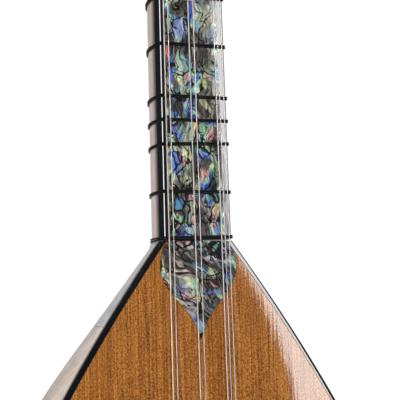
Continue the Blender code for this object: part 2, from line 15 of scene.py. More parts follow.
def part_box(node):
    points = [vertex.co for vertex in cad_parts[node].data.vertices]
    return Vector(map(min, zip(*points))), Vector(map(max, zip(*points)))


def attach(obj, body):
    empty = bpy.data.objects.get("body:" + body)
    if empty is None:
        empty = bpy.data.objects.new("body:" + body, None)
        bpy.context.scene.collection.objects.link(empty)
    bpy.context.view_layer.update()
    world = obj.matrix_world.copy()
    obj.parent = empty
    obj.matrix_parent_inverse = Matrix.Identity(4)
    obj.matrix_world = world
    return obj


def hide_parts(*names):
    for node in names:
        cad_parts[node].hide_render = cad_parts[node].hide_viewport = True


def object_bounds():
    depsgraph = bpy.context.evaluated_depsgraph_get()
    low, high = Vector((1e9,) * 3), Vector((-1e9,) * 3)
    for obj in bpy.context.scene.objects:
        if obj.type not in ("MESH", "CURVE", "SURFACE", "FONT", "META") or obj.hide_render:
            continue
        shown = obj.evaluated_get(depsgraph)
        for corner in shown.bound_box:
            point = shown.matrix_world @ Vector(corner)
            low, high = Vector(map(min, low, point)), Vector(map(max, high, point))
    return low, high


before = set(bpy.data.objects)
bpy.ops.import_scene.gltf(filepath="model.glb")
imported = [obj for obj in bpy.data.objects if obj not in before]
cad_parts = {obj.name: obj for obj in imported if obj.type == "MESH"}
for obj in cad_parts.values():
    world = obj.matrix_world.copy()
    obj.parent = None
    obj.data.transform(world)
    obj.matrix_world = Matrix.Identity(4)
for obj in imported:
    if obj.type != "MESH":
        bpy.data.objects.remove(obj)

CAD_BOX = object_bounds()
MM = 0.001
GAP = 0.3

# -------------------- the object's measures, as in the CAD

SCALE_LENGTH = 700.0
# Each string's share of the way across, and its diameter; then the strings' shift and spread at three places.
STRINGS = ((0.00, 0.56), (0.073, 0.40), (0.43, 0.50), (0.517, 0.40), (0.871, 0.50), (0.931, 0.40),
    (1.00, 0.40))
AT_NUT, AT_BRIDGE, AT_TAIL = (-0.6, 23.2), (-2.2, 30.8), (-1.5, 22.0)
STRING_Y_AT_NUT, STRING_Y_AT_BRIDGE = -1.5, -7.0
FRET_SHARES = (17 / 18, 11 / 12, 8 / 9, 68 / 81, 22 / 27, 64 / 81, 3 / 4, 17 / 24, 11 / 16, 2 / 3, 17 / 27,
    11 / 18, 16 / 27, 9 / 16, 17 / 32, 33 / 64, 1 / 2, 17 / 36, 4 / 9)
FRET_NUDGE = {15: -0.6, 16: 0.25, 17: 1.0}
FRET_TILT_DEG = {14: -0.2, 15: -0.4, 16: 0.2, 17: 1.3, 18: -0.2, 19: 0.8}
FRET_STRAND = 0.36

NECK_END = -(SCALE_LENGTH * 5 / 9 + 1.0)
NECK_TOP_END = 4.0
BOARD_HALF_AT_NUT, BOARD_HALF_AT_END, BOARD_THICK = 12.8, 15.35, 6.0
NECK_DEPTH_AT_NUT, NECK_DEPTH_AT_END = 23.0, 28.0
INLAY_BORDER, INLAY_SHIFT, INLAY_THICK = 2.5, -0.4, 0.9

BODY_LENGTH, WIDEST_DOWN, TAIL_REACH = 394.0, 265.0, 130.0
BODY_HALF_AT_NECK, BODY_HALF_WIDEST, SHOULDER_SLOPE = 16.4, 125.0, 0.755
BODY_TOP, SOUNDBOARD_THICK, CROWN = 2.0, 3.5, 1.2
RIM = BODY_TOP + SOUNDBOARD_THICK + GAP
DEPTH_AT_NECK, DEPTH_DEEPEST, DEEPEST_DOWN, DEPTH_SLOPE, TAIL_FULLNESS = 28.2, 141.0, 205.0, 0.695, 2.8
TUMBLE_DEG, TUMBLE_RUN, HEEL_LAG = 12.5, 67.0, 4.7
RIB_COUNT, RIB_THICK, HEEL_LENGTH, TAIL_CAP_START = 9, 3.0, 35.0, 389.0
BINDING_WIDTH, SPADE_LENGTH, SPADE_SHIFT = 2.05, 42.1, 0.5
SOUND_HOLE_RADIUS, SOUND_HOLE_DEPTH = 7.0, 19.0
TENON, TENON_LOW = (12.0, 14.0, 24.0), RIM + 5.0
PIN_RADIUS, LOOP_BELOW = 0.62, 6.9

HEAD_START, HEAD_END, HEAD_LEAN, HEAD_FRONT_Y = 4.3, 190.0, radians(10.0), 3.0
HEAD_HALF_AT_NUT, HEAD_HALF, HEAD_HALF_AT_END = 12.4, 10.5, 9.5
HEAD_THICK_AT_NUT, HEAD_THICK, HEAD_THICK_AT_END = 26.0, 21.0, 17.0
# Each string's peg: the first three stand out of the head's side, the others out of its front.
PEG_HEIGHTS = (50.0, 94.0, 138.0, 28.0, 72.0, 116.0, 160.0)
FRONT_PEG_X, SIDE_PEG_DEPTH, PEG_SHAFT_RADIUS, WINDING_HEIGHT = 3.0, 10.0, 3.5, 5.0
PEG_TURNS_DEG = (12, -20, 35, -8, 24, -32, 5)
WOUND, FRONT_STRINGS = (0, 2), (3, 4, 5, 6)

# -------------------- camera and studio

CAMERA_YAW, CAMERA_PITCH, CAMERA_ROLL = 23.5, 4.95, -1.85
CAMERA_DISTANCE, CAMERA_LENS = 512.0, 108.0
AIM_FROM_JOINT = Vector((2.1, 2.0, 17.1))
FLOOR_HALF = 1300
BACKDROP_WAY = (0.40, 0.91, 0.09)
ROOM_LIGHT, BACKDROP_LIGHT = 0.045, 0.38


def smoothstep(value):
    value = min(max(value, 0.0), 1.0)
    return value * value * (3.0 - 2.0 * value)


def mix(a, b, share):
    return a + (b - a) * share


def hermite(share, start, start_slope, end, length):
    t = min(max(share, 0.0), 1.0)
    rise = t * t * (3.0 - 2.0 * t)
    return start * (1.0 - rise) + end * rise + start_slope * length * t * (1.0 - t) ** 2


def string_x(index, place):
    """Where a string lies across the instrument at its nut, bridge or tail."""
    shift, spread = place
    return shift + (STRINGS[index][0] - 0.5) * spread


# -------------------- materials

def srgb(r, g, b):
    """An 8-bit display colour as linear RGBA."""
    def linear(value):
        value /= 255.0
        return value / 12.92 if value <= 0.04045 else ((value + 0.055) / 1.055) ** 2.4
    return (linear(r), linear(g), linear(b), 1.0)


class Look:
    """A node material in the making; its points are in millimetres in the shared frame."""

    def __init__(self, name, **shader):
        self.material = bpy.data.materials.new(name)
        self.material.use_nodes = True
        self.tree = self.material.node_tree
        self.shader = self.tree.nodes["Principled BSDF"]
        for socket, value in shader.items():
            self.shader.inputs[socket.replace("_", " ")].default_value = value
        self.point = self.scaled(self.node("TexCoord").outputs["Object"], (1000, 1000, 1000))

    def node(self, kind, **settings):
        made = self.tree.nodes.new("ShaderNode" + kind)
        for key, value in settings.items():
            setattr(made, key, value)
        return made

    def put(self, socket, value):
        if isinstance(value, bpy.types.NodeSocket):
            self.tree.links.new(value, socket)
        elif value is not None:
            socket.default_value = value

    def set(self, socket, value):
        self.put(self.shader.inputs[socket], value)

    def math(self, operation, a, b=None):
        made = self.node("Math", operation=operation)
        for socket, value in zip(made.inputs, (a, b)):
            self.put(socket, value)
        return made.outputs[0]

    def vector(self, operation, a, b=None):
        made = self.node("VectorMath", operation=operation)
        self.put(made.inputs[0], a)
        self.put(made.inputs[1], b)
        return made.outputs["Value" if operation in ("LENGTH", "DISTANCE", "DOT_PRODUCT") else "Vector"]

    def scaled(self, vector, scale):
        return self.vector("MULTIPLY", vector, scale)

    def moved(self, vector, shift):
        return self.vector("ADD", vector, shift)

    def turned(self, vector, degrees):
        """The point turned about Y, so that its Z axis lies along a slanting flow."""
        made = self.node("VectorRotate", rotation_type="Y_AXIS")
        self.put(made.inputs["Vector"], vector)
        self.put(made.inputs["Angle"], radians(degrees))
        return made.outputs[0]

    def axis(self, vector, name):
        made = self.node("SeparateXYZ")
        self.put(made.inputs[0], vector)
        return made.outputs[name]

    def noise(self, vector, scale, detail, roughness=0.5, color=False):
        made = self.node("TexNoise")
        self.put(made.inputs["Vector"], vector)
        for socket, value in (("Scale", scale), ("Detail", detail), ("Roughness", roughness)):
            self.put(made.inputs[socket], value)
        return made.outputs["Color" if color else "Fac"]

    def grain(self, vector, scale, detail, roughness):
        """Noise drawn out along an axis by a scale for each."""
        return self.noise(self.scaled(vector, scale), 1.0, detail, roughness)

    def cells(self, vector, scale, feature="DISTANCE_TO_EDGE"):
        made = self.node("TexVoronoi", feature=feature)
        self.put(made.inputs["Vector"], vector)
        self.put(made.inputs["Scale"], scale)
        return made.outputs["Distance" if feature == "DISTANCE_TO_EDGE" else "Color"]

    def swirl(self, vector, scale, reach, detail):
        """The point pushed about by a noise field."""
        field = self.vector("SUBTRACT", self.noise(vector, scale, detail, color=True), (0.5, 0.5, 0.5))
        return self.moved(vector, self.scaled(field, (reach, reach, reach)))

    def span(self, value, low, high, out_low=0.0, out_high=1.0):
        made = self.node("MapRange", interpolation_type="SMOOTHSTEP")
        for socket, entry in zip(made.inputs, (value, low, high, out_low, out_high)):
            self.put(socket, entry)
        return made.outputs[0]

    def ramp(self, value, stops):
        made = self.node("ValToRGB")
        ramp = made.color_ramp
        while len(ramp.elements) < len(stops):
            ramp.elements.new(0.5)
        for element, (place, color) in zip(ramp.elements, stops):
            element.position = place
            element.color = color
        self.put(made.inputs[0], value)
        return made.outputs["Color"]

    def tones(self, value, *stops):
        """A ramp of 8-bit display colours, each (place, r, g, b)."""
        return self.ramp(value, [(place, srgb(*color)) for place, *color in stops])

    def blend(self, share, a, b, how="MIX"):
        made = self.node("Mix", data_type="RGBA", blend_type=how)
        self.put(made.inputs[0], share)
        self.put(made.inputs[6], a)
        self.put(made.inputs[7], b)
        return made.outputs[2]

    def tinted(self, share, color, value, *stops):
        """A colour multiplied by a ramp of factors, each (place, r, g, b)."""
        factors = self.ramp(value, [(place, (*factor, 1.0)) for place, *factor in stops])
        return self.blend(share, color, factors, "MULTIPLY")

    def relief(self, height, distance, strength, socket="Normal"):
        """Bumps whose height is a share of a distance in millimetres."""
        made = self.node("Bump")
        for entry, value in (("Strength", strength), ("Distance", distance * MM), ("Height", height)):
            self.put(made.inputs[entry], value)
        self.set(socket, made.outputs[0])

    def rough(self, value, low, high):
        """Roughness that follows a noise between two values."""
        self.set("Roughness", self.span(value, 0.3, 0.7, low, high))


# Features of the shell: (x, z, radius across, radius along, degrees, 8-bit colour, strength) in millimetres.

CHARCOAL, BLACK = (64, 61, 61), (10, 10, 12)
STRIP_PATCHES = ((-7.3, -291.1, 3.6, 3.6, 0, CHARCOAL, 0.9), (-7.0, -291.0, 0.8, 0.9, 0, (205, 165, 70), 1.0),
    (-0.5, -291.4, 1.2, 5.5, 4, (70, 112, 215), 1.0), (-6.3, -299.2, 4.4, 4.6, 20, (150, 165, 216), 0.8),
    (5.6, -295.0, 4.0, 7.0, 15, (180, 186, 164), 0.75), (-11.7, -308.6, 1.0, 4.2, 0, (226, 122, 104), 0.95),
    (-10.4, -317.5, 0.7, 8.5, 0, (72, 112, 206), 0.95), (-5.2, -315.0, 3.0, 6.4, 10, (156, 192, 178), 0.75),
    (-2.8, -320.1, 0.9, 4.2, 47, (226, 152, 172), 1.0), (5.0, -321.9, 1.6, 3.6, 10, (192, 202, 146), 0.9),
    (4.6, -312.0, 4.4, 5.6, 40, CHARCOAL, 0.8), (-7.6, -333.0, 3.4, 3.4, 0, CHARCOAL, 0.85),
    (-3.6, -331.7, 1.0, 4.0, 20, (164, 192, 226), 0.9), (-2.3, -334.8, 1.2, 1.8, 0, (72, 112, 216), 0.9),
    (5.0, -331.7, 1.4, 5.0, 35, (206, 210, 168), 0.9), (-8.4, -344.0, 2.2, 4.5, 35, (112, 132, 212), 0.8),
    (-6.5, -342.6, 2.0, 2.0, 0, (92, 170, 170), 0.9), (-6.3, -342.5, 0.7, 0.7, 0, (226, 142, 62), 1.0),
    (-0.6, -341.3, 1.4, 1.7, 0, (236, 206, 142), 0.95), (3.8, -342.6, 1.8, 2.6, -20, (132, 186, 134), 0.85),
    (7.8, -346.0, 1.2, 2.0, 20, (222, 142, 166), 0.9), (-9.6, -357.0, 2.4, 6.0, 5, (80, 126, 216), 0.85),
    (-3.6, -353.9, 1.2, 2.6, 20, (236, 226, 168), 0.95), (-4.8, -364.4, 2.2, 2.4, 0, (202, 216, 170), 0.85),
    (-0.2, -359.6, 1.7, 7.6, 5, CHARCOAL, 0.85), (3.4, -360.9, 0.9, 1.4, 0, (230, 152, 122), 0.95),
    (2.3, -367.4, 1.3, 1.6, 0, (76, 122, 216), 0.9), (8.8, -360.0, 1.4, 6.6, 0, (142, 182, 134), 0.8),
    (-9.0, -374.6, 2.6, 3.2, 20, (92, 152, 200), 0.85), (-2.8, -371.8, 1.3, 1.4, 0, (226, 152, 176), 0.9),
    (1.0, -379.6, 2.6, 4.6, 25, CHARCOAL, 0.85), (8.2, -377.0, 1.4, 2.8, 0, (236, 206, 172), 0.9),
    (8.4, -386.2, 1.6, 1.8, 0, (92, 142, 216), 0.85), (-4.0, -385.3, 2.4, 2.6, 0, (176, 202, 216), 0.85),
    (-7.7, -381.8, 1.6, 3.0, 20, (142, 190, 142), 0.8))

SPADE_PATCHES = ((8.6, -395.0, 5.0, 4.2, 0, (92, 120, 160), 0.5), (11.6, -394.4, 1.3, 1.3, 0, (220, 152, 176),
    0.9), (6.1, -393.6, 1.5, 1.5, 0, (92, 170, 166), 0.9), (9.4, -397.2, 1.2, 1.0, 30, (176, 170, 226), 0.9),
    (7.7, -403.4, 3.0, 3.0, 20, (202, 208, 174), 0.85), (-4.1, -400.5, 2.2, 7.5, 35, (70, 63, 60), 0.9),
    (7.3, -400.2, 1.5, 6.6, 41, (66, 60, 58), 0.9), (-13.4, -400.4, 1.8, 4.0, 20, (66, 60, 58), 0.9),
    (-8.6, -410.6, 5.2, 3.2, 10, (112, 126, 176), 0.6), (-12.6, -411.4, 1.2, 4.0, 10, BLACK, 0.9),
    (7.3, -409.1, 3.2, 2.6, 0, CHARCOAL, 0.85), (7.0, -408.8, 0.6, 2.2, 50, (222, 142, 162), 0.95),
    (4.0, -412.3, 4.2, 1.0, 0, (112, 130, 196), 0.7), (-0.9, -413.6, 3.4, 0.45, 0, (236, 162, 132), 0.95),
    (-3.0, -419.0, 4.6, 4.2, 20, (186, 178, 180), 0.6), (0.5, -425.8, 2.2, 2.8, 0, (178, 192, 200), 0.8),
    (1.6, -430.6, 2.4, 1.7, 0, BLACK, 1.0))


def shell_look(name, flow_deg, squeeze, patches, pebbled=()):
    """Laminated abalone: cloudy colours that stream along a flow, charcoal between them, black veins.

    A pebbled place, (x, z, radius across, radius along), is a crowd of small bright cells.
    """
    look = Look(name, Roughness=0.4, Coat_Weight=1.0, Coat_Roughness=0.035, Specular_IOR_Level=0.04)
    vein = srgb(*BLACK)
    slow = look.swirl(look.point, 0.07, 13.0, 1.5)
    swirled = look.swirl(slow, 0.32, 2.4, 2.0)
    flow = look.scaled(look.turned(swirled, flow_deg), (1.0, 1.0, squeeze))
    tint = look.noise(flow, 0.19, 2.2, 0.6)
    color = look.tones(tint, (0.30, 60, 58, 62), (0.385, 56, 82, 160), (0.425, 108, 134, 200),
        (0.455, 104, 168, 176), (0.49, 150, 186, 158), (0.525, 208, 208, 178), (0.555, 128, 150, 112),
        (0.59, 188, 176, 170), (0.63, 206, 140, 160), (0.67, 90, 86, 84))
    silk = look.noise(look.scaled(flow, (2.6, 1.0, 0.5)), 0.55, 3.0, 0.6)
    color = look.tinted(1.0, color, silk, (0.34, 0.26, 0.26, 0.28), (0.5, 0.84, 0.84, 0.84),
        (0.64, 1.55, 1.55, 1.50))
    stone = look.noise(look.scaled(flow, (1.9, 1.0, 0.32)), 0.42, 4.0, 0.65)
    dark = look.tones(stone, (0.33, 22, 21, 23), (0.46, 62, 58, 57), (0.58, 106, 102, 98),
        (0.68, 176, 176, 164))
    region = look.noise(look.moved(flow, (31.0, 0.0, 17.0)), 0.15, 2.0, 0.5)
    color = look.blend(look.span(region, 0.46, 0.53), color, dark)
    wander = look.swirl(look.point, 0.28, 2.4, 2.0)

    def away(x, z, across, along, degrees=0):
        """The distance from a place's middle, in shares of its radii."""
        local = look.turned(look.moved(wander, (-x, 0.0, -z)), degrees)
        return look.vector("LENGTH", look.scaled(local, (1.0 / across, 0.0, 1.0 / along)))

    for x, z, across, along, degrees, patch, strength in patches:
        near = look.span(away(x, z, across, along, degrees), 0.6, 1.15, strength, 0.0)
        shade = look.tinted(1.0, srgb(*patch), silk, (0.34, 0.28, 0.28, 0.30), (0.62, 1.2, 1.2, 1.15))
        color = look.blend(near, color, shade)
    for place in pebbled:
        near = look.span(away(*place), 0.7, 1.1, 1.0, 0.0)
        stirred = look.swirl(look.point, 0.5, 1.6, 1.0)
        grey = look.node("RGBToBW")
        look.put(grey.inputs[0], look.cells(stirred, 0.42, "F1"))
        pebble = look.tones(grey.outputs[0], (0.15, 46, 50, 58), (0.32, 72, 104, 176), (0.45, 110, 168, 168),
            (0.55, 206, 204, 168), (0.68, 150, 140, 196), (0.8, 206, 150, 150), (0.9, 120, 126, 112))
        pebble = look.blend(look.span(look.cells(stirred, 0.42), 0.05, 0.16, 0.95, 0.0), pebble, vein)
        color = look.blend(near, color, pebble)
    edges = look.cells(look.swirl(flow, 0.15, 6.0, 1.5), 0.11)
    color = look.blend(look.span(edges, 0.014, 0.040, 0.95, 0.0), color, vein)
    for shift, scale, width in ((11.0, 0.12, 0.011), (57.0, 0.20, 0.014)):
        level = look.noise(look.moved(flow, (shift, 0.0, -shift)), scale, 1.0, 0.5)
        line = look.math("ABSOLUTE", look.math("SUBTRACT", level, 0.5))
        color = look.blend(look.span(line, width * 0.45, width, 1.0, 0.0), color, vein)
    look.set("Base Color", color)
    look.relief(silk, 0.05, 0.25)
    wave = look.noise(look.point, 0.09, 1.0)
    look.relief(wave, 0.10, 0.4, "Coat Normal")
    return look.material


def cedar_look():
    """Quarter-sawn cedar under clear lacquer: fine upright grain, darker lines, short flecks across."""
    look = Look("cedar_lacquered", Roughness=0.42, Coat_Weight=1.0, Coat_Roughness=0.035, Coat_IOR=1.57,
        Specular_IOR_Level=0.05)
    bent = look.swirl(look.point, 0.012, 2.2, 1.0)
    fine = look.grain(bent, (1.25, 1.0, 0.012), 2.0, 0.6)
    broad = look.grain(bent, (0.24, 1.0, 0.004), 2.0, 0.5)
    fleck = look.grain(look.turned(look.point, 12), (1.5, 1.0, 1.15), 2.5, 0.75)
    cloud = look.grain(look.point, (0.09, 1.0, 0.05), 2.0, 0.5)
    color = look.tones(fine, (0.30, 132, 78, 27), (0.42, 150, 93, 37), (0.54, 166, 106, 46),
        (0.70, 180, 121, 56))
    color = look.tinted(0.4, color, broad, (0.36, 0.78, 0.75, 0.72), (0.5, 1, 1, 1), (0.66, 1.10, 1.10, 1.08))
    dashed = look.span(fleck, 0.40, 0.56, 0.85, 0.35)
    for shift, scale, width in ((0.0, 0.30, 0.030), (40.0, 0.62, 0.034)):
        year = look.grain(look.moved(bent, (shift, 0.0, 0.0)), (scale, 1.0, 0.003), 1.0, 0.5)
        line = look.math("ABSOLUTE", look.math("SUBTRACT", year, 0.5))
        color = look.blend(look.math("MULTIPLY", look.span(line, 0.0, width, 1.0, 0.0), dashed), color,
            srgb(94, 48, 10))
    color = look.tinted(0.95, color, fleck, (0.36, 0.44, 0.38, 0.30), (0.5, 1, 1, 1),
        (0.64, 1.60, 1.60, 1.60))
    color = look.tinted(0.5, color, cloud, (0.35, 0.78, 0.76, 0.74), (0.65, 1.12, 1.12, 1.14))
    look.set("Base Color", color)
    look.rough(fine, 0.52, 0.36)
    look.relief(fine, 0.05, 0.5)
    streak = look.grain(bent, (0.6, 1.0, 0.035), 3.0, 0.6)
    look.relief(streak, 0.012, 0.6, "Coat Normal")
    return look.material


def lacquer_look(name, color, coat_ior, painted_reflection=None):
    """Black lacquered wood: a deep gloss with faint rubbing and pores; its sides may turn pale towards the
    back, a painted reflection.
    """
    look = Look(name, Coat_Weight=1.0, Coat_Roughness=0.04, Coat_IOR=coat_ior, Specular_IOR_Level=0.05)
    pores = look.grain(look.point, (3.0, 3.0, 0.35), 3.0, 0.6)
    shade = srgb(*color)
    tone = look.ramp(pores, [(0.35, shade), (0.75, tuple(c * 2.2 for c in shade[:3]) + (1,))])
    # Painted reflection: the side turns pale grey towards the back, standing in for the gloss that mirrors
    # the bright room.
    if painted_reflection is not None:
        depth = look.axis(look.point, "Y")
        tone = look.blend(look.span(depth, BODY_TOP + 0.7, RIM + 0.4), tone, srgb(*painted_reflection))
    look.set("Base Color", tone)
    smear = look.grain(look.point, (0.25, 0.25, 0.05), 3.0, 0.6)
    look.rough(smear, 0.28, 0.38)
    look.relief(smear, 0.03, 0.3, "Coat Normal")
    return look.material


def pale_wood_look(name, light, mid, dark, figure, painted_shade_top=None, painted_shade_reach=1.0, grain_axis="Object"):
    """Light wood under lacquer: long grain, curl across it, and, where asked for, painted shade along the
    edge by the joint, grey then black towards the front.
    """
    look = Look(name, Coat_Weight=0.8, Coat_Roughness=0.06, Specular_IOR_Level=0.45)
    if grain_axis == "Object":
        along = look.point
    else:
        along = look.scaled(look.node("Attribute", attribute_name=grain_axis).outputs["Vector"],
            (1000, 1000, 1000))
    bent = look.swirl(along, 0.02, 2.5, 1.0)
    grain = look.grain(bent, (0.9, 0.9, 0.022), 3.0, 0.62)
    streaks = look.grain(bent, (0.22, 0.22, 0.008), 2.0, 0.5)
    color = look.tones(grain, (0.28, *dark), (0.44, *mid), (0.64, *light))
    color = look.blend(look.span(streaks, 0.5, 0.66, 0.0, 0.5), color, srgb(*dark))
    curl = look.grain(look.swirl(along, 0.05, 6.0, 1.0), (0.10, 0.10, 0.30), 2.0, 0.5)
    color = look.tinted(figure, color, curl, (0.36, 0.80, 0.78, 0.76), (0.5, 1, 1, 1),
        (0.64, 1.14, 1.14, 1.14))
    # Painted shade: the wood turns grey, then black, near its front edge where it meets the black board or
    # binding.
    if painted_shade_top is not None:
        depth = look.axis(look.point, "Y")
        color = look.blend(look.span(depth, painted_shade_top + 0.3 * painted_shade_reach, painted_shade_top + painted_shade_reach, 0.9, 0.0),
            color, srgb(104, 106, 110))
        color = look.blend(look.span(depth, painted_shade_top, painted_shade_top + 0.7 * painted_shade_reach, 1.0, 0.0), color,
            srgb(*BLACK))
    look.set("Base Color", color)
    look.rough(grain, 0.42, 0.3)
    look.relief(grain, 0.04, 0.35)
    return look.material


def plain_wood_look(name, light, dark, gloss=0.0):
    """Unfigured wood for blocks, braces, pegs and the tailpiece."""
    look = Look(name, Coat_Weight=gloss, Coat_Roughness=0.1)
    bent = look.swirl(look.point, 0.04, 2.0, 1.0)
    grain = look.grain(bent, (0.9, 0.9, 0.05), 4.0, 0.65)
    pores = look.grain(look.point, (4.0, 4.0, 0.5), 2.0, 0.6)
    color = look.tones(grain, (0.3, *dark), (0.7, *light))
    color = look.blend(look.span(pores, 0.58, 0.7, 0.0, 0.6), color, srgb(*dark))
    look.set("Base Color", color)
    look.rough(grain, 0.6 - 0.25 * gloss, 0.42 - 0.2 * gloss)
    look.relief(pores, 0.05, 0.4)
    return look.material


def nylon_look():
    look = Look("black_nylon", Roughness=0.24, Specular_IOR_Level=0.2)
    haze = look.noise(look.point, 1.6, 2.0, 0.6)
    look.set("Base Color", look.tones(haze, (0.35, 4, 4, 5), (0.7, 12, 12, 13)))
    look.rough(haze, 0.26, 0.4)
    return look.material


def steel_look(name, light, dark, turns_per_mm=0.0):
    """String wire; a wound string has the fine ridges of its winding."""
    look = Look(name, Metallic=1.0)
    haze = look.grain(look.point, (1.0, 1.0, 0.06), 3.0, 0.6)
    look.set("Base Color", look.tones(haze, (0.35, *dark), (0.65, *light)))
    look.rough(haze, 0.34, 0.5)
    if turns_per_mm:
        ridge = look.math("SINE", look.math("MULTIPLY", look.axis(look.point, "Z"), turns_per_mm * tau))
        look.relief(ridge, 0.03, 0.6)
    return look.material


def bone_look():
    look = Look("bone", Specular_IOR_Level=0.5)
    cloud = look.grain(look.point, (0.3, 0.3, 0.12), 3.0, 0.6)
    line = look.grain(look.point, (2.4, 2.4, 0.25), 2.0, 0.5)
    color = look.tones(cloud, (0.3, 214, 202, 176), (0.7, 240, 233, 215))
    look.set("Base Color", look.blend(look.span(line, 0.6, 0.72, 0.0, 0.5), color, srgb(196, 180, 150)))
    look.rough(cloud, 0.36, 0.28)
    look.relief(line, 0.03, 0.3)
    return look.material


# -------------------- making meshes

def make_object(name, points, faces, sharp_deg=35.0):
    """A closed mesh from points in millimetres, with outward faces and smooth shading."""
    mesh = bpy.data.meshes.new(name)
    mesh.from_pydata([Vector(p) * MM for p in points], [], faces)
    bm = bmesh.new()
    bm.from_mesh(mesh)
    bmesh.ops.recalc_face_normals(bm, faces=bm.faces)
    bm.to_mesh(mesh)
    bm.free()
    mesh.shade_smooth()
    mesh.set_sharp_from_angle(angle=radians(sharp_deg))
    obj = bpy.data.objects.new(name, mesh)
    bpy.context.scene.collection.objects.link(obj)
    return obj


def skin(rings, looped=False):
    """Points and faces of a row of closed rings; a looped row has no ends to cap."""
    count = len(rings[0])
    points = [p for ring in rings for p in ring]
    faces = []
    for row in range(len(rings) if looped else len(rings) - 1):
        low, high = row * count, (row + 1) % len(rings) * count
        for i in range(count):
            j = (i + 1) % count
            faces.append((low + i, low + j, high + j, high + i))
    if not looped:
        faces.append(tuple(range(count)))
        faces.append(tuple(range(len(points) - count, len(points))))
    return points, faces


def joined(shapes):
    """Several (points, faces) shapes as one."""
    points, faces = [], []
    for more_points, more_faces in shapes:
        start = len(points)
        points += list(more_points)
        faces += [tuple(start + i for i in face) for face in more_faces]
    return points, faces


def circle(radius, z, sides):
    return [Vector((radius * cos(tau * k / sides), radius * sin(tau * k / sides), z)) for k in range(sides)]


def turned(profile, sides, place=Matrix()):
    """A round form from (radius, z) rows, put in place by a matrix."""
    return skin([[place @ p for p in circle(radius, z, sides)] for radius, z in profile])


def placed(form, place):
    return [place @ Vector(p) for p in form[0]], form[1]


def half_round(half, depth, top, steps):
    """An arc of (x, y) points from right to left, deepest in the middle."""
    return [(half * cos(pi * k / steps), top + depth * sin(pi * k / steps)) for k in range(steps + 1)]


def tube(path, radius, sides, looped=False):
    """A round tube along a path; radius is one number, or one for each point."""
    path = [Vector(p) for p in path]
    radii = radius if isinstance(radius, (list, tuple)) else [radius] * len(path)
    last = len(path) - 1
    rings = []
    across = None
    for i, place in enumerate(path):
        before = path[i - 1] if looped or i else path[i]
        after = path[(i + 1) % len(path)] if looped or i < last else path[i]
        along = (after - before).normalized()
        if across is None:
            across = along.orthogonal()
        across = (across - along * across.dot(along)).normalized()
        side = along.cross(across)
        rings.append([place + (across * cos(tau * k / sides) + side * sin(tau * k / sides)) * radii[i]
            for k in range(sides)])
    return skin(rings, looped)


def rounded_path(corners, radius, steps):
    """A path through corners, each cut by a smooth arc."""
    corners = [Vector(p) for p in corners]
    path = [corners[0]]
    for before, corner, after in zip(corners, corners[1:], corners[2:]):
        reach = min(radius, (before - corner).length * 0.45, (after - corner).length * 0.45)
        start = corner + (before - corner).normalized() * reach
        end = corner + (after - corner).normalized() * reach
        for i in range(steps + 1):
            t = i / steps
            path.append(start * (1 - t) ** 2 + corner * (2 * t * (1 - t)) + end * t * t)
    path.append(corners[-1])
    return path


def catmull(a, b, c, d, t):
    """A point a share of the way from b to c on a smooth curve through four knots."""
    return (2 * b + (c - a) * t + (2 * a - 5 * b + 4 * c - d) * t * t
        + (3 * b - a - 3 * c + d) * t ** 3) * 0.5


def smooth_outline(points, steps):
    """A closed outline through the points, with Catmull-Rom curves between them."""
    count = len(points)
    outline = []
    for i in range(count):
        a, b, c, d = (Vector(points[(i + k) % count]) for k in (-1, 0, 1, 2))
        outline += [catmull(a, b, c, d, k / steps) for k in range(steps)]
    return outline


def slab(outline, levels):
    """A flat outline of (x, z) points, skinned through (inset, y) levels."""
    count = len(outline)
    flat = [Vector(p) for p in outline]
    area = sum(flat[i - 1].x * flat[i].y - flat[i].x * flat[i - 1].y for i in range(count))
    turn = 1.0 if area > 0 else -1.0
    rings = []
    for inset, y in levels:
        ring = []
        for i in range(count):
            before = (flat[i] - flat[i - 1]).normalized()
            after = (flat[(i + 1) % count] - flat[i]).normalized()
            inward = (Vector((-before.y, before.x)) + Vector((-after.y, after.x))).normalized() * turn
            place = flat[i] + inward * inset
            ring.append((place.x, y, place.y))
        rings.append(ring)
    return skin(rings)


def shaped(name, form, look, stands_for=(), body="instrument", sharp_deg=35.0):
    """A finished piece: its mesh, its material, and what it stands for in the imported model."""
    obj = make_object(name, *form, sharp_deg=sharp_deg)
    dress(obj, look, stands_for, body)
    return obj


def dress(obj, look, stands_for, body="instrument"):
    obj.data.materials.clear()
    obj.data.materials.append(look)
    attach(obj, body)
    if stands_for:
        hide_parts(*stands_for)


def settle(obj, sharp_deg=35.0):
    """Turn an object's modifiers into plain mesh."""
    bpy.context.view_layer.update()
    evaluated = obj.evaluated_get(bpy.context.evaluated_depsgraph_get())
    mesh = bpy.data.meshes.new_from_object(evaluated)
    obj.modifiers.clear()
    obj.data = mesh
    mesh.shade_smooth()
    mesh.set_sharp_from_angle(angle=radians(sharp_deg))


def carve(obj, cutters, operation="DIFFERENCE", sharp_deg=35.0):
    for cutter in cutters:
        modifier = obj.modifiers.new(cutter.name, "BOOLEAN")
        modifier.object = cutter
        modifier.operation = operation
        modifier.solver = "EXACT"
    settle(obj, sharp_deg)
    for cutter in cutters:
        bpy.data.objects.remove(cutter, do_unlink=True)


def soften(obj, width, segments, limit_deg=30.0):
    bevel = obj.modifiers.new("rounded", "BEVEL")
    bevel.width = width * MM
    bevel.segments = segments
    bevel.limit_method = "ANGLE"
    bevel.angle_limit = radians(limit_deg)
    bevel.use_clamp_overlap = True
    settle(obj)


def block(name, low, high):
    points = [(x, y, z) for x in (low[0], high[0]) for y in (low[1], high[1]) for z in (low[2], high[2])]
    return make_object(name, points, [(0, 1, 3, 2), (4, 5, 7, 6), (0, 1, 5, 4), (2, 3, 7, 6), (0, 2, 6, 4),
        (1, 3, 7, 5)])


def rod(name, radius, length, place, sides):
    """A round cutter whose local Z axis is put in place by a matrix in millimetres."""
    return make_object(name, *turned(((radius, -length / 2), (radius, length / 2)), sides, place))


# -------------------- body form

def body_z(down):
    return NECK_END - down


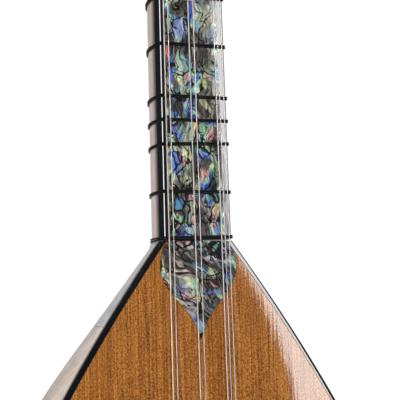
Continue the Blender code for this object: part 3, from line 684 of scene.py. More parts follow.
def half_width(down):
    if down <= WIDEST_DOWN:
        return hermite(down / WIDEST_DOWN, BODY_HALF_AT_NECK, SHOULDER_SLOPE, BODY_HALF_WIDEST, WIDEST_DOWN)
    reach = (down - WIDEST_DOWN) / TAIL_REACH
    return BODY_HALF_WIDEST * sqrt(max(1.0 - reach * reach, 0.0))


def width_slope(down):
    step = 0.05
    return (half_width(down + step) - half_width(down - step)) / (2.0 * step)


def bowl_depth(down):
    if down <= DEEPEST_DOWN:
        return hermite(down / DEEPEST_DOWN, DEPTH_AT_NECK, DEPTH_SLOPE, DEPTH_DEEPEST, DEEPEST_DOWN)
    reach = (down - DEEPEST_DOWN) / (WIDEST_DOWN + TAIL_REACH - DEEPEST_DOWN)
    return DEPTH_DEEPEST * (1.0 - reach ** TAIL_FULLNESS) ** (1.0 / TAIL_FULLNESS)


def bowl_point(down, share, inset=0.0):
    """A point on the bowl's section: share runs from the right rim round to the left rim."""
    tumble = radians(TUMBLE_DEG) * smoothstep(down / TUMBLE_RUN)
    depth_radius = bowl_depth(down) / (1.0 + sin(tumble))
    middle = depth_radius * sin(tumble)
    rim_angle = asin(min(middle / (depth_radius - inset), 1.0))
    angle = -rim_angle + share * (pi + 2.0 * rim_angle)
    lagged = max(down - HEEL_LAG * max(sin(angle), 0.0), 0.0)
    width_radius = half_width(lagged) / cos(tumble) - inset
    return (width_radius * cos(angle), RIM + middle + (depth_radius - inset) * sin(angle), body_z(down))


def wall_inset(down):
    return RIB_THICK * min(hypot(1.0, width_slope(down)), 3.4)


def board_top(share, down):
    crown = CROWN * smoothstep(down / 200.0) * smoothstep((BODY_LENGTH + 10.0 - down) / 60.0)
    return BODY_TOP - crown * (1.0 - share * share)


def half_outline(inset, start):
    """Half of the body's outline, set in by a distance: (out from the middle, down) from neck to tail."""
    upper_steps, tail_steps = 70, 60
    points = []
    for i in range(upper_steps):
        down = mix(start, WIDEST_DOWN, (i / upper_steps) ** 1.2)
        points.append((half_width(down) - inset * hypot(1.0, width_slope(down)), down))
    last = asin((BODY_LENGTH - WIDEST_DOWN) / TAIL_REACH)
    for i in range(tail_steps + 1):
        turn = last * i / tail_steps
        normal = Vector((TAIL_REACH * cos(turn), BODY_HALF_WIDEST * sin(turn))).normalized()
        points.append((BODY_HALF_WIDEST * cos(turn) - inset * normal.x,
            WIDEST_DOWN + TAIL_REACH * sin(turn) - inset * normal.y))
    return points


def rib_downs():
    """Where the staves' sections lie, closest at the tail."""
    upper, lower = 44, 34
    last = asin((TAIL_CAP_START - WIDEST_DOWN) / TAIL_REACH)
    return ([mix(HEEL_LENGTH + 0.15, WIDEST_DOWN, i / upper) for i in range(upper)]
        + [WIDEST_DOWN + TAIL_REACH * sin(last * i / lower) for i in range(lower + 1)])


def add_grain(obj, entries):
    """Each point's place in the wood, in metres: across the stave, through it, and along it."""
    attribute = obj.data.attributes.new("grain", "FLOAT_VECTOR", "POINT")
    for item, entry in zip(attribute.data, entries):
        item.vector = Vector(entry) * MM


def make_ribs(looks):
    """Bent staves with softened long edges; their seams show as fine dark lines."""
    steps, seam, soft = 10, 0.19, 0.4
    for index in range(RIB_COUNT):
        rings, grain = [], []
        run = 0.0
        before = None
        for down in rib_downs():
            girth = dist(bowl_point(down, 0.5), bowl_point(down, 0.0)) * 2.2
            middle = Vector(bowl_point(down, (index + 0.5) / RIB_COUNT))
            run += (middle - before).length if before else 0.0
            before = middle
            start = index / RIB_COUNT + (seam / girth if index > 0 else 0.0)
            end = (index + 1) / RIB_COUNT - (seam / girth if index < RIB_COUNT - 1 else 0.0)
            edge = min(soft / girth, (end - start) * 0.2)
            flat = [mix(start + edge, end - edge, i / steps) for i in range(steps + 1)]
            shares = [start, start + edge * 0.35] + flat + [end - edge * 0.35, end]
            drops = [0.30, 0.08] + [0.0] * (steps + 1) + [0.08, 0.30]
            outer = [bowl_point(down, share, drop) for share, drop in zip(shares, drops)]
            inner_shares = [mix(end, start, i / 4) for i in range(5)]
            inner = [bowl_point(down, share, wall_inset(down)) for share in inner_shares]
            rings.append(outer + inner)
            for depth, row in ((0.0, shares), (RIB_THICK, inner_shares)):
                grain += [((share - 0.5) * girth + index * 37.0, depth, run) for share in row]
        name = f"rib_{index + 1}"
        rib = shaped(f"{name}_stave", skin(rings), looks[index % len(looks)], (name,),
            sharp_deg=50.0)
        add_grain(rib, grain)


def section_ring(down, inset=0.0):
    steps = 56
    return [bowl_point(down, i / steps, inset) for i in range(steps + 1)]


def make_heel(look):
    """The neck block: the flamed wood between the neck and the staves, and the step they lie on."""
    rings = [section_ring(GAP + 0.25, 0.25)]
    rings += [section_ring(mix(GAP + 0.5, HEEL_LENGTH - 0.2, i / 14)) for i in range(15)]
    rings.append(section_ring(HEEL_LENGTH, 0.2))
    step = (HEEL_LENGTH + 0.1, 43.0, 50.0, 58.0)
    rings += [section_ring(down, wall_inset(down) + 2 * GAP) for down in step]
    heel = make_object("neck_block_heel", *skin(rings))
    width, height, length = TENON
    low_y = TENON_LOW - GAP
    carve(heel, [block("mortise", (-width / 2 - GAP, low_y, NECK_END - length - 2 * GAP),
        (width / 2 + GAP, low_y + height + 2 * GAP, NECK_END + 2.0))])
    dress(heel, look, ("neck_block",))


def make_tail(look, pin_look):
    """The tail cap with its sound hole, and the slotted plate whose pins hold the strings' loops."""
    hole = Matrix.Translation((0.0, RIM + SOUND_HOLE_DEPTH, body_z(BODY_LENGTH - 15.0)))
    rings = [section_ring(TAIL_CAP_START + 0.15, 0.2), section_ring(TAIL_CAP_START + 0.4)]
    rings += [section_ring(mix(TAIL_CAP_START + 0.8, BODY_LENGTH - 0.8, i / 6)) for i in range(7)]
    rings += [section_ring(BODY_LENGTH - 0.3, 0.15), section_ring(BODY_LENGTH, 0.8)]
    cap = make_object("tail_cap_veneer", *skin(rings))
    carve(cap, [rod("sound_hole", SOUND_HOLE_RADIUS, 60.0, hole, 64)])
    soften(cap, 0.4, 2, 50.0)
    dress(cap, look, ("tail_cap",))
    tail_z = body_z(BODY_LENGTH)
    outline = smooth_outline([(-14.6, -0.2), (-12.5, -1.0), (0.0, -1.25), (12.5, -1.0), (14.6, -0.2),
        (14.7, 1.6), (14.0, 6.0), (13.1, 11.6), (11.4, 13.2), (0.0, 13.5), (-11.4, 13.2), (-13.1, 11.6),
        (-14.0, 6.0), (-14.7, 1.6)], 5)
    levels = ((0.4, 0.0), (0.12, 0.12), (0.0, 0.4), (0.0, 5.0), (0.12, 5.3), (0.4, 5.5))
    points, faces = slab(outline, levels)
    tail_end = tail_z - GAP - levels[-1][1]
    piece = make_object("tailpiece_hook_plate", [(x, z, tail_end + y) for x, y, z in points], faces)
    ways = [string_x(index, AT_TAIL) for index in range(len(STRINGS))]
    carve(piece, [block("slot", (x - 0.35, -3.0, tail_z - 8.0), (x + 0.35, -0.75, tail_z + 2.0))
        for x in ways])
    dress(piece, look, ("tailpiece",))
    profile = ((PIN_RADIUS, 0.6), (PIN_RADIUS, -0.9), (1.0, -1.1), (1.05, -1.45), (0.75, -1.8), (0.2, -1.95))
    for index in range(len(STRINGS)):
        place = Matrix.Translation((string_x(index, AT_TAIL), pin_depth(index), tail_end))
        shaped(f"tailpiece_pin_{index + 1}", turned(profile, 16, place), pin_look)


def pin_depth(index):
    """Pins stand in two rows, so that the loops of a course lie side by side."""
    return 4.2 if index % 2 == 0 else 7.4


def spade_outline():
    """The ornament's edge: straight from the neck, a full belly, then a hollow run to its point."""
    side = [(13.9, 0.3), (16.1, 4.0), (17.1, 7.6), (17.5, 10.8), (16.9, 14.8), (15.3, 18.6), (12.5, 22.6),
        (9.2, 26.4), (5.9, 30.2), (3.4, 33.8), (1.6, 37.8)]
    knots = [Vector(p) for p in side] + [Vector((0.0, SPADE_LENGTH))]
    before = [knots[0] * 2 - knots[1]] + knots
    half = []
    for i in range(len(knots) - 1):
        a, b, c = before[i], knots[i], knots[i + 1]
        d = knots[i + 2] if i + 2 < len(knots) else c * 2 - b
        half += [catmull(a, b, c, d, k / 6) for k in range(6)]
    right = [(SPADE_SHIFT + p.x, body_z(p.y)) for p in half]
    left = [(SPADE_SHIFT - p.x, body_z(p.y)) for p in reversed(half)]
    return right + [(SPADE_SHIFT, body_z(SPADE_LENGTH))] + left


def make_soundboard(cedar, shell):
    rings = []
    steps = 40
    for x_edge, down in half_outline(BINDING_WIDTH + 0.12, GAP):
        shares = [mix(-1.0, 1.0, i / steps) for i in range(steps + 1)]
        top = [(share * x_edge, board_top(share, down), body_z(down)) for share in shares]
        bottom = [(x, y + SOUNDBOARD_THICK, z) for x, y, z in reversed(top)]
        rings.append(top + bottom)
    board = make_object("soundboard_cedar", *skin(rings))
    spade = spade_outline()
    recess = make_object("spade_recess", *slab(spade, ((-0.16, BODY_TOP - 3.0), (-0.16, BODY_TOP + 1.1))))
    carve(board, [recess])
    dress(board, cedar, ("soundboard",))
    levels = [(inset, BODY_TOP + y) for inset, y in ((0.12, -0.1), (0.03, -0.06), (0.0, 0.03), (0.0, 0.8))]
    shaped("spade_inlay_shell", slab(spade, levels), shell, ("spade_inlay",), sharp_deg=12.0)


def make_binding(look):
    """A black strip round the board's edge: flat on top, its outer corner worn a little more on the right."""
    outer = half_outline(0.0, GAP)
    inner = half_outline(BINDING_WIDTH, GAP)
    low = SOUNDBOARD_THICK + GAP - 0.02
    rings = []
    for side in (1, -1):
        pairs = list(zip(outer, inner))
        worn = 0.75 if side == 1 else 0.03
        corner = [((1.0 - sin(radians(a))) * worn / BINDING_WIDTH, (1.0 - cos(radians(a))) * worn)
            for a in (90.0, 67.5, 45.0, 22.5, 0.0)]
        section = corner + [(0.96, 0.0), (1.0, 0.08), (1.0, low), (0.0, low)]
        for (out, down), (within, within_down) in (pairs if side == 1 else reversed(pairs)):
            rings.append([(side * mix(out, within, share), BODY_TOP + drop,
                body_z(mix(down, within_down, share))) for share, drop in section])
    shaped("binding_strip", skin(rings), look, ("binding",), sharp_deg=12.0)


# -------------------- neck pieces

def board_half(z):
    return mix(BOARD_HALF_AT_NUT, BOARD_HALF_AT_END, min(max(z / NECK_END, 0.0), 1.0))


def neck_depth(z):
    return mix(NECK_DEPTH_AT_NUT, NECK_DEPTH_AT_END, min(max(z / NECK_END, 0.0), 1.0))


def make_neck(look):
    """The round-backed neck, with its glued tenon in the heel."""
    rings = []
    for i in range(25):
        z = mix(NECK_END, NECK_TOP_END, i / 24)
        half, depth, top = board_half(z), neck_depth(z), BOARD_THICK + 0.02
        arc = half_round(half, depth, BOARD_THICK + GAP, 30)
        rings.append([(x, y, z) for x, y in [(half - 0.04, top)] + arc + [(0.04 - half, top)]])
    neck = make_object("neck_shaft", *skin(rings))
    width, height, length = TENON
    carve(neck, [block("tenon", (-width / 2, TENON_LOW, NECK_END - length),
        (width / 2, TENON_LOW + height, NECK_END + 10.0))], "UNION")
    dress(neck, look, ("neck",))


def make_fingerboard(black, shell):
    """A black board with small bevels on its long edges, and the shell strip let into its top."""
    left_bevel, right_bevel = 0.26, 0.5
    rings = []
    for z, inset in ((NECK_END, 0.15), (NECK_END + 0.15, 0.0), (-GAP - 0.2, 0.0), (-GAP, 0.2)):
        half = board_half(z) - inset
        rings.append([(x, y, z) for x, y in (
            (half, BOARD_THICK), (half, right_bevel), (half - 0.3 * right_bevel, 0.3 * right_bevel),
            (half - right_bevel, inset), (left_bevel - half, inset), (-half, left_bevel),
            (-half, BOARD_THICK))])
    board = make_object("fingerboard_black", *skin(rings), sharp_deg=20.0)
    inlay_low, inlay_high = NECK_END + 1.0, -4.0

    def strip(low_z, high_z, grow):
        low = board_half(low_z) - INLAY_BORDER + grow
        high = board_half(high_z) - INLAY_BORDER + grow
        return [(INLAY_SHIFT - low, low_z), (INLAY_SHIFT + low, low_z), (INLAY_SHIFT + high, high_z),
            (INLAY_SHIFT - high, high_z)]

    channel = make_object("channel", *slab(strip(inlay_low - 6.0, inlay_high + 0.1, 0.1),
        ((0, -3.0), (0, 1.2))))
    carve(board, [channel], sharp_deg=20.0)
    dress(board, black, ("fingerboard",))
    shaped("fingerboard_inlay_shell",
        slab(strip(inlay_low, inlay_high, 0.0), ((0.10, 0.0), (0.03, 0.03), (0.0, 0.1), (0.0, INLAY_THICK))),
        shell, ("fingerboard_inlay",), sharp_deg=12.0)


def fret_loop(z, reach):
    """A closed path round the neck and fingerboard, at a distance from the wood."""
    half, depth = board_half(z), neck_depth(z)
    top = BOARD_THICK + GAP
    right = [(half - 0.5 + (0.5 + reach) * sin(radians(a)), 0.5 - (0.5 + reach) * cos(radians(a)))
        for a in (0, 30, 60, 90)]
    left = [(-x, y) for x, y in reversed(right)]
    arc = half_round(half + reach, depth + reach, top, 28)
    flat = [(mix(-half + 0.5, half - 0.5, k / 6), -reach) for k in range(1, 6)]
    return [Vector((x, y, 0.0)) for x, y in flat + right + arc + left]


def knot_form(place, turn, size):
    """A small hard overhand knot with two trimmed ends."""
    curl = []
    for k in range(36):
        t = tau * k / 36
        curl.append(Vector((sin(t) + 2 * sin(2 * t), -sin(3 * t) * 1.1, cos(t) - 2 * cos(2 * t)))
            * (size / 3.6))
    shapes = [tube([place @ p for p in curl], FRET_STRAND, 8, looped=True)]
    for side in (-1, 1):
        end = [Vector((side * size * 0.3, -0.2, 0.0)), Vector((side * size * 0.9, -0.7, side * 0.5 * turn)),
            Vector((side * size * 1.5, -0.5, side * 1.3 * turn))]
        radii = [FRET_STRAND] * 5 + [0.34] * 2 + [0.30]
        shapes.append(tube([place @ p for p in rounded_path(end, 0.6, 3)], radii, 8))
    return shapes


def make_frets(look):
    """Each fret is two turns of black nylon side by side, knotted behind the treble edge."""
    for number, share in enumerate(FRET_SHARES, 1):
        z = (share - 1.0) * SCALE_LENGTH + FRET_NUDGE.get(number, 0.0)
        tilt = Matrix.Rotation(-radians(FRET_TILT_DEG.get(number, 0.0)), 4, "Y")
        place = Matrix.Translation((0.0, 0.0, z)) @ tilt
        random.seed(number)
        shapes = []
        for side in (-1, 1):
            loop = []
            for p in fret_loop(z, FRET_STRAND + 0.11):
                behind = smoothstep((p.y - 4.0) / 10.0)
                spread = FRET_STRAND + 0.03 + 0.09 * behind * (1.0 + sin(p.x * 0.4 + number))
                loop.append(place @ Vector((p.x, p.y, side * spread)))
            shapes.append(tube(loop, FRET_STRAND, 10, looped=True))
        angle = radians(28.0 + random.uniform(-6.0, 8.0))
        half, depth = board_half(z) + 1.0, neck_depth(z) + 1.0
        seat = Matrix.Translation((half * cos(angle), BOARD_THICK + depth * sin(angle), 0.0))
        outward = Matrix.Rotation(angle + pi / 2, 4, "Z")
        shapes += knot_form(place @ seat @ outward, random.choice((-1, 1)), 1.15)
        name = f"fret_{number:02d}"
        shaped(f"{name}_tied", joined(shapes), look, (name,), body=name, sharp_deg=60.0)


def cut_notches(obj, place, y, z, clearance, sides):
    """A round notch for each string."""
    carve(obj, [rod(f"notch_{index}", STRINGS[index][1] / 2 + clearance, 8.0,
        Matrix.Translation((string_x(index, place), y, z)), sides) for index in range(len(STRINGS))])


def make_nut(look):
    nut = block("nut_bone", (-12.7, -1.05, 0.1), (12.7, 6.0, 3.9))
    soften(nut, 0.55, 3)
    cut_notches(nut, AT_NUT, STRING_Y_AT_NUT + 0.02, 2.0, 0.08, 12)
    dress(nut, look, ("nut",))


def make_bridge(look):
    """A thin bridge on two feet, hollowed between them, with a notch for each string."""
    half = 21.0
    z = -SCALE_LENGTH
    foot = board_top(0.0, NECK_END - z) - GAP
    top = STRING_Y_AT_BRIDGE + 0.35
    arch = half_round(10.6, -2.6, foot, 20)
    right = [(half, foot), (half, foot - 1.6), (half - 0.7, foot - 2.6), (half - 2.2, top + 0.7),
        (half - 3.4, top + 0.1), (10.0, top)]
    left = [(-x, y) for x, y in reversed(right)]
    outline = right + left + list(reversed(arch))
    rings = []
    for drop, depth in ((0.5, -1.75), (0.12, -1.62), (0.0, -1.3), (0.0, 1.3), (0.12, 1.62), (0.5, 1.75)):
        rings.append([(x, y + (drop * 0.6 if y < foot - 2.8 else 0.0),
            z + depth * (0.55 + 0.45 * (y - top) / (foot - top))) for x, y in outline])
    bridge = make_object("bridge_arched", *skin(rings))
    cut_notches(bridge, AT_BRIDGE, STRING_Y_AT_BRIDGE + 0.12, z, 0.38, 16)
    dress(bridge, look, ("bridge",), body="bridge")


# -------------------- head, pegs and strings

def head_front(z):
    return HEAD_FRONT_Y + (z - HEAD_START) * tan(HEAD_LEAN)


def head_half(z):
    if z < 16.0:
        return mix(HEAD_HALF_AT_NUT, HEAD_HALF, smoothstep((z - HEAD_START) / 11.7))
    return mix(HEAD_HALF, HEAD_HALF_AT_END, (z - 16.0) / (HEAD_END - 16.0))


def head_ring(z, shrink=0.0):
    half = head_half(z) - shrink
    taper = mix(HEAD_THICK, HEAD_THICK_AT_END, (z - 30.0) / 160.0)
    thick = mix(HEAD_THICK_AT_NUT, taper, smoothstep((z - HEAD_START) / 25.7))
    front = head_front(z) + shrink
    back = head_front(z) + thick - shrink
    back_radius = mix(half - 0.3, 6.0, smoothstep((z - HEAD_START) / 40.0))
    ring = []
    for x, y, radius, start in ((half, front, 1.6, -90.0), (half, back, back_radius, 0.0),
            (-half, back, back_radius, 90.0), (-half, front, 1.6, 180.0)):
        middle_x = x - copysign(radius, x)
        middle_y = y + radius if y == front else y - radius
        for i in range(9):
            turn = radians(start + 11.25 * i)
            ring.append((middle_x + radius * cos(turn), middle_y + radius * sin(turn), z))
    return ring


def peg_frame(index):
    """Local Z leaves the head at the peg's hole, and the peg turns about it; lengths in millimetres."""
    z = PEG_HEIGHTS[index]
    if index in FRONT_STRINGS:
        outward = Vector((0.0, -cos(HEAD_LEAN), sin(HEAD_LEAN)))
        return framed(Vector((1.0, 0.0, 0.0)), outward, (FRONT_PEG_X, head_front(z), z))
    place = (-head_half(z), head_front(z) + SIDE_PEG_DEPTH, z)
    return framed(Vector((0.0, 0.0, 1.0)), Vector((-1.0, 0.0, 0.0)), place)


def framed(across, outward, place):
    matrix = Matrix((across, outward.cross(across), outward)).transposed().to_4x4()
    matrix.translation = place
    return matrix


def make_head(look):
    zs = [HEAD_START + 0.2] + [mix(5.0, 44.0, i / 16) for i in range(17)]
    zs += [70.0, 100.0, 140.0, HEAD_END - 5.0]
    rounded_end = ((3.4, 0.15), (2.0, 0.6), (0.9, 1.4), (0.2, 2.5), (0.0, 3.4))
    rings = [head_ring(HEAD_START, 0.2)] + [head_ring(z) for z in zs]
    rings += [head_ring(HEAD_END - below, shrink) for below, shrink in rounded_end]
    head = make_object("head_board", *skin(rings))
    holes = []
    for index in range(len(STRINGS)):
        depth = 34.0 if index in FRONT_STRINGS else 30.0
        place = peg_frame(index) @ Matrix.Translation((0.0, 0.0, 4.0 - depth / 2))
        holes.append(rod(f"peg_hole_{index}", PEG_SHAFT_RADIUS + 0.25, depth, place, 40))
    carve(head, holes)
    dress(head, look, ("head",))


def peg_form():
    """A turned shaft, collar and stem, and a cross handle waisted at the middle, in the peg's own frame."""
    r = PEG_SHAFT_RADIUS
    profile = ((0.05, -25.0), (r - 1.3, -25.0), (r - 0.85, -24.6), (r - 0.6, -24.0), (r - 0.3, -12.0),
        (r, 0.0), (r + 0.05, 9.4), (r + 0.5, 9.9), (4.7, 10.3), (5.0, 11.0), (4.95, 11.8), (4.3, 12.4),
        (3.6, 12.9), (3.5, 13.3), (4.1, 13.7), (4.15, 14.2), (3.4, 14.8), (2.9, 15.6), (2.8, 17.5),
        (1.5, 19.0), (0.05, 19.4))
    rows = 34
    handle = []
    for i in range(rows + 1):
        t = mix(-0.5, 0.5, i / rows)
        along = sin(pi * t)
        girth = sqrt(max(1.0 - along * along, 0.0))
        swell = 0.80 + 0.34 * smoothstep(abs(along) / 0.6) - 0.06 * smoothstep((abs(along) - 0.6) / 0.4)
        tall = max(6.1 * girth * swell, 0.02)
        wide = max(4.3 * girth ** 0.8 * (0.92 + 0.10 * smoothstep(abs(along) / 0.5)), 0.02)
        ring = []
        for k in range(24):
            turn = tau * k / 24
            ring.append((13.4 * along, wide * cos(turn), 20.4 + 0.35 * abs(along) + tall * sin(turn)))
        handle.append(ring)
    return turned(profile, 40), skin(handle)


def winding(index):
    """Turns of string round the peg's shaft, in the peg's own frame, and their height."""
    diameter = STRINGS[index][1]
    reach = PEG_SHAFT_RADIUS + 0.08 + diameter / 2
    turns, pitch = 4.25, diameter + 0.06
    path = []
    for k in range(int(turns * 20) + 1):
        angle = tau * k / 20
        path.append(Vector((reach * cos(angle), reach * sin(angle), 0.0)) + Vector((0, 0, pitch * k / 20)))
    return path, pitch * turns


def leaving_side(index):
    """The lowest front peg is wound the other way from the rest."""
    return -1.0 if index == FRONT_STRINGS[0] else 1.0


def string_way(index):
    """The string's straight run, from the tailpiece over bridge and nut to its peg."""
    tail_z, tail_x = body_z(BODY_LENGTH), string_x(index, AT_TAIL)
    bridge = Vector((string_x(index, AT_BRIDGE), STRING_Y_AT_BRIDGE, -SCALE_LENGTH))
    nut = Vector((string_x(index, AT_NUT), STRING_Y_AT_NUT, NECK_TOP_END))
    stand_off = PEG_SHAFT_RADIUS + 0.1 + GAP + STRINGS[index][1] / 2.0
    if index in FRONT_STRINGS:
        way = [peg_frame(index) @ Vector((leaving_side(index) * (stand_off - 0.25), 0.0, WINDING_HEIGHT))]
    else:
        z = PEG_HEIGHTS[index]
        edge_z = z - 22.0
        edge = Vector((-head_half(edge_z) - 0.7, head_front(edge_z) - 0.6, edge_z))
        end = Vector((-head_half(z) - WINDING_HEIGHT, head_front(z) + SIDE_PEG_DEPTH - stand_off + 0.25, z))
        way = [edge, end]
    under = [Vector((tail_x, y, tail_z - below))
        for y, below in ((pin_depth(index) - 1.8, LOOP_BELOW), (-1.25, 5.4), (-1.25, 0.4))]
    return under + [bridge, nut] + way


def loop_form(index):
    """The string's end: a loop round its pin, closed by a few twisted turns."""
    diameter = STRINGS[index][1]
    x, pin_y = string_x(index, AT_TAIL), pin_depth(index)
    z = body_z(BODY_LENGTH) - LOOP_BELOW
    reach = PIN_RADIUS + diameter / 2 + 0.04
    ring = [(x + reach * sin(tau * k / 20), pin_y - reach * cos(tau * k / 20), z) for k in range(20)]
    twist = []
    for k in range(31):
        y = mix(pin_y - reach, pin_y - 2.6, k / 30)
        turn = tau * k / 7
        twist.append((x + 0.30 * cos(turn), y, z + 0.30 * sin(turn)))
    return [tube(ring, diameter / 2, 8, looped=True), tube(twist, diameter / 2 * 0.8, 6)]


def make_pegs(look, wound, plain):
    shaft, handle = peg_form()
    for index in range(len(STRINGS)):
        place = peg_frame(index) @ Matrix.Rotation(radians(PEG_TURNS_DEG[index]), 4, "Z")
        body = f"peg_{index + 1}"
        peg = make_object(f"{body}_turned", *placed(shaft, place))
        bar = make_object("bar", *placed(handle, place))
        carve(peg, [bar], "UNION", sharp_deg=38.0)
        dress(peg, look, (body,), body=body)
        path, height = winding(index)
        still = peg_frame(index)
        if index not in FRONT_STRINGS:
            still = still @ Matrix.Rotation(wind_angle(index), 4, "Z")
        lift = WINDING_HEIGHT - height * 0.5
        coil = [still @ Vector((leaving_side(index) * p.x, p.y, p.z + lift)) for p in path]
        shaped(f"{body}_winding", tube(coil, STRINGS[index][1] / 2, 8), wound if index in WOUND else plain,
            body=body, sharp_deg=60.0)


def wind_angle(index):
    """The angle in a side peg's frame at which its string comes on."""
    local = peg_frame(index).inverted() @ string_way(index)[-1]
    return atan2(local.y, local.x)


def make_strings(wound, plain):
    for index, (_share, diameter) in enumerate(STRINGS):
        name = f"string_{index + 1}"
        path = rounded_path(string_way(index), 2.2, 5)
        shapes = [tube(path, diameter / 2, 10)] + loop_form(index)
        shaped(f"{name}_wire", joined(shapes), wound if index in WOUND else plain, (name,),
            sharp_deg=60.0)


# -------------------- studio

def area_light(name, place, target, width, height, power, seen=True):
    light = bpy.data.lights.new(name, "AREA")
    light.shape = "RECTANGLE"
    light.size = width * MM
    light.size_y = height * MM
    light.energy = power
    obj = bpy.data.objects.new(name, light)
    bpy.context.scene.collection.objects.link(obj)
    obj.location = Vector(place) * MM
    obj.rotation_euler = (Vector(target) - Vector(place)).to_track_quat("-Z", "Y").to_euler()
    obj.visible_glossy = seen


def softbox(name, corners, strength):
    """A glowing panel that lights the object and shows in its gloss, but isn't in view itself."""
    panel = make_object(name, corners, [tuple(range(len(corners)))])
    glow = bpy.data.materials.new(name)
    glow.use_nodes = True
    tree = glow.node_tree
    tree.nodes.clear()
    emission = tree.nodes.new("ShaderNodeEmission")
    emission.inputs["Strength"].default_value = strength
    output = tree.nodes.new("ShaderNodeOutputMaterial")
    tree.links.new(emission.outputs[0], output.inputs["Surface"])
    panel.data.materials.append(glow)
    panel.visible_camera = False
    panel.visible_shadow = False


def make_world():
    """A white backdrop behind the object in a dim room, and plain white wherever the camera looks past it."""
    world = bpy.data.worlds.new("studio")
    world.use_nodes = True
    bpy.context.scene.world = world
    tree = world.node_tree
    tree.nodes.clear()

    def node(kind, **inputs):
        made = tree.nodes.new("ShaderNode" + kind)
        for key, value in inputs.items():
            made.inputs[int(key[1:])].default_value = value
        return made

    toward = node("VectorMath", _1=BACKDROP_WAY)
    toward.operation = "DOT_PRODUCT"
    tree.links.new(node("TexCoord").outputs["Generated"], toward.inputs[0])
    behind = node("MapRange", _1=cos(radians(30)), _2=cos(radians(18)), _3=ROOM_LIGHT, _4=BACKDROP_LIGHT)
    behind.interpolation_type = "SMOOTHSTEP"
    tree.links.new(toward.outputs["Value"], behind.inputs[0])
    choose = node("Mix", _3=1.05)
    tree.links.new(node("LightPath").outputs["Is Camera Ray"], choose.inputs[0])
    tree.links.new(behind.outputs[0], choose.inputs[2])
    back = node("Background", _0=(1.0, 1.0, 1.0, 1.0))
    tree.links.new(choose.outputs[0], back.inputs["Strength"])
    tree.links.new(back.outputs[0], node("OutputWorld").inputs["Surface"])


def make_studio():
    make_world()
    low = CAD_BOX[0][2] / MM - 4
    corners = [(x * FLOOR_HALF, y * FLOOR_HALF, low) for x, y in ((-1, -1), (1, -1), (1, 1), (-1, 1))]
    floor = make_object("studio_floor", corners, [(0, 1, 2, 3)])
    look = Look("studio_floor", Roughness=0.9)
    look.set("Base Color", look.ramp(look.noise(look.point, 0.004, 2.0),
        [(0.3, (0.80, 0.80, 0.80, 1)), (0.7, (0.84, 0.84, 0.84, 1))]))
    floor.data.materials.append(look.material)
    edge = ((540, 300), (548, 52), (567, -313), (588, -345), (636, -411), (668, -465), (692, -518),
        (702, -560), (760, -720), (880, -720), (880, 300))
    softbox("softbox_right", [(x, -1200, z) for x, z in edge], 9.6)
    middle = (0.0, 0.0, -360.0)
    area_light("key_front", (-60, -1900, 150), middle, 280, 280, 18)
    area_light("strip_left", (-1272, -509, -250), (0.0, 0.0, -250.0), 120, 1100, 5.8)
    area_light("fill_left", (-1350, 260, -150), middle, 900, 1400, 15.5, seen=False)
    area_light("fill_back_right", (1300, 1100, 300), middle, 900, 1400, 9, seen=False)
    area_light("fill_back_left", (-1100, 1300, 200), middle, 900, 1400, 8, seen=False)


def make_camera():
    yaw, pitch = radians(CAMERA_YAW), radians(CAMERA_PITCH)
    forward = Vector((sin(yaw) * cos(pitch), cos(yaw) * cos(pitch), sin(pitch)))
    right = forward.cross(Vector((0, 0, 1))).normalized()
    up = right.cross(forward)
    data = bpy.data.cameras.new("camera")
    data.lens = CAMERA_LENS
    data.sensor_width = 36.0
    data.clip_start = 0.01
    camera = bpy.data.objects.new("camera", data)
    bpy.context.scene.collection.objects.link(camera)
    level = Matrix((right, up, -forward)).transposed().to_4x4()
    joint = Vector((0.0, 0.0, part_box("fingerboard")[0][2] / MM))
    place = Matrix.Translation((joint + AIM_FROM_JOINT - forward * CAMERA_DISTANCE) * MM)
    camera.matrix_world = place @ level @ Matrix.Rotation(radians(CAMERA_ROLL), 4, "Z")
    bpy.context.scene.camera = camera


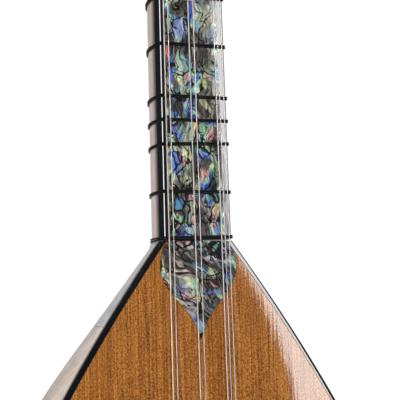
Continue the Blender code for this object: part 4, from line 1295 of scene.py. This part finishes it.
def keep_carried(names, look):
    """CAD nodes whose own shape is right get a finished material."""
    for name in names:
        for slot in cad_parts[name].material_slots:
            slot.material = look


def main():
    make_camera()
    black = lacquer_look("ebony_lacquered", (4, 4, 6), 1.74)
    # The binding's sides carry a painted reflection: pale grey towards the back.
    trim = lacquer_look("binding_lacquered", (2, 2, 3), 1.68, (186, 182, 180))
    strip = shell_look("shell_strip", 0.0, 0.42, STRIP_PATCHES)
    spade = shell_look("shell_spade", 42.0, 0.36, SPADE_PATCHES,
        ((8.5, -394.6, 7.5, 5.0), (-3.0, -391.5, 9.0, 2.2)))
    # The neck, heel and stave woods get painted shade, grey then black, beside the black board and binding.
    neck_wood = pale_wood_look("neck_wood", (206, 190, 184), (194, 174, 167), (172, 150, 142), 0.3,
        BOARD_THICK - 1.2, 7.2)
    heel_wood = pale_wood_look("heel_wood", (206, 203, 204), (192, 188, 188), (168, 164, 164), 0.6,
        RIM - 3.2, 4.0)
    stave_wood = pale_wood_look("stave_wood", (214, 202, 192), (200, 184, 172), (174, 148, 128), 0.35,
        RIM - 3.2, 4.0, "grain")
    next_stave_wood = pale_wood_look("stave_wood_darker", (198, 182, 168), (182, 162, 146), (156, 128, 106),
        0.35, RIM - 3.2, 4.0, "grain")
    spruce = plain_wood_look("spruce", (214, 184, 138), (178, 142, 92))
    rosewood = plain_wood_look("rosewood", (74, 42, 30), (36, 20, 16), 0.7)
    nylon = nylon_look()
    plain = steel_look("plain_wire", (212, 205, 203), (186, 178, 176))
    wound = steel_look("wound_wire", (250, 246, 234), (236, 228, 210), 5.0)
    bone = bone_look()
    make_ribs((stave_wood, next_stave_wood))
    make_heel(heel_wood)
    make_tail(rosewood, plain)
    make_soundboard(cedar_look(), spade)
    make_binding(trim)
    make_neck(neck_wood)
    make_fingerboard(black, strip)
    make_frets(nylon)
    make_nut(bone)
    make_bridge(bone)
    make_head(pale_wood_look("head_wood", (196, 176, 166), (182, 158, 147), (160, 134, 122), 0.3))
    make_pegs(rosewood, wound, plain)
    make_strings(wound, plain)
    keep_carried(("tail_block", "lining_left", "lining_right", "brace_upper", "brace_lower"), spruce)
    make_studio()
    bpy.context.scene.view_settings.view_transform = "Standard"


main()
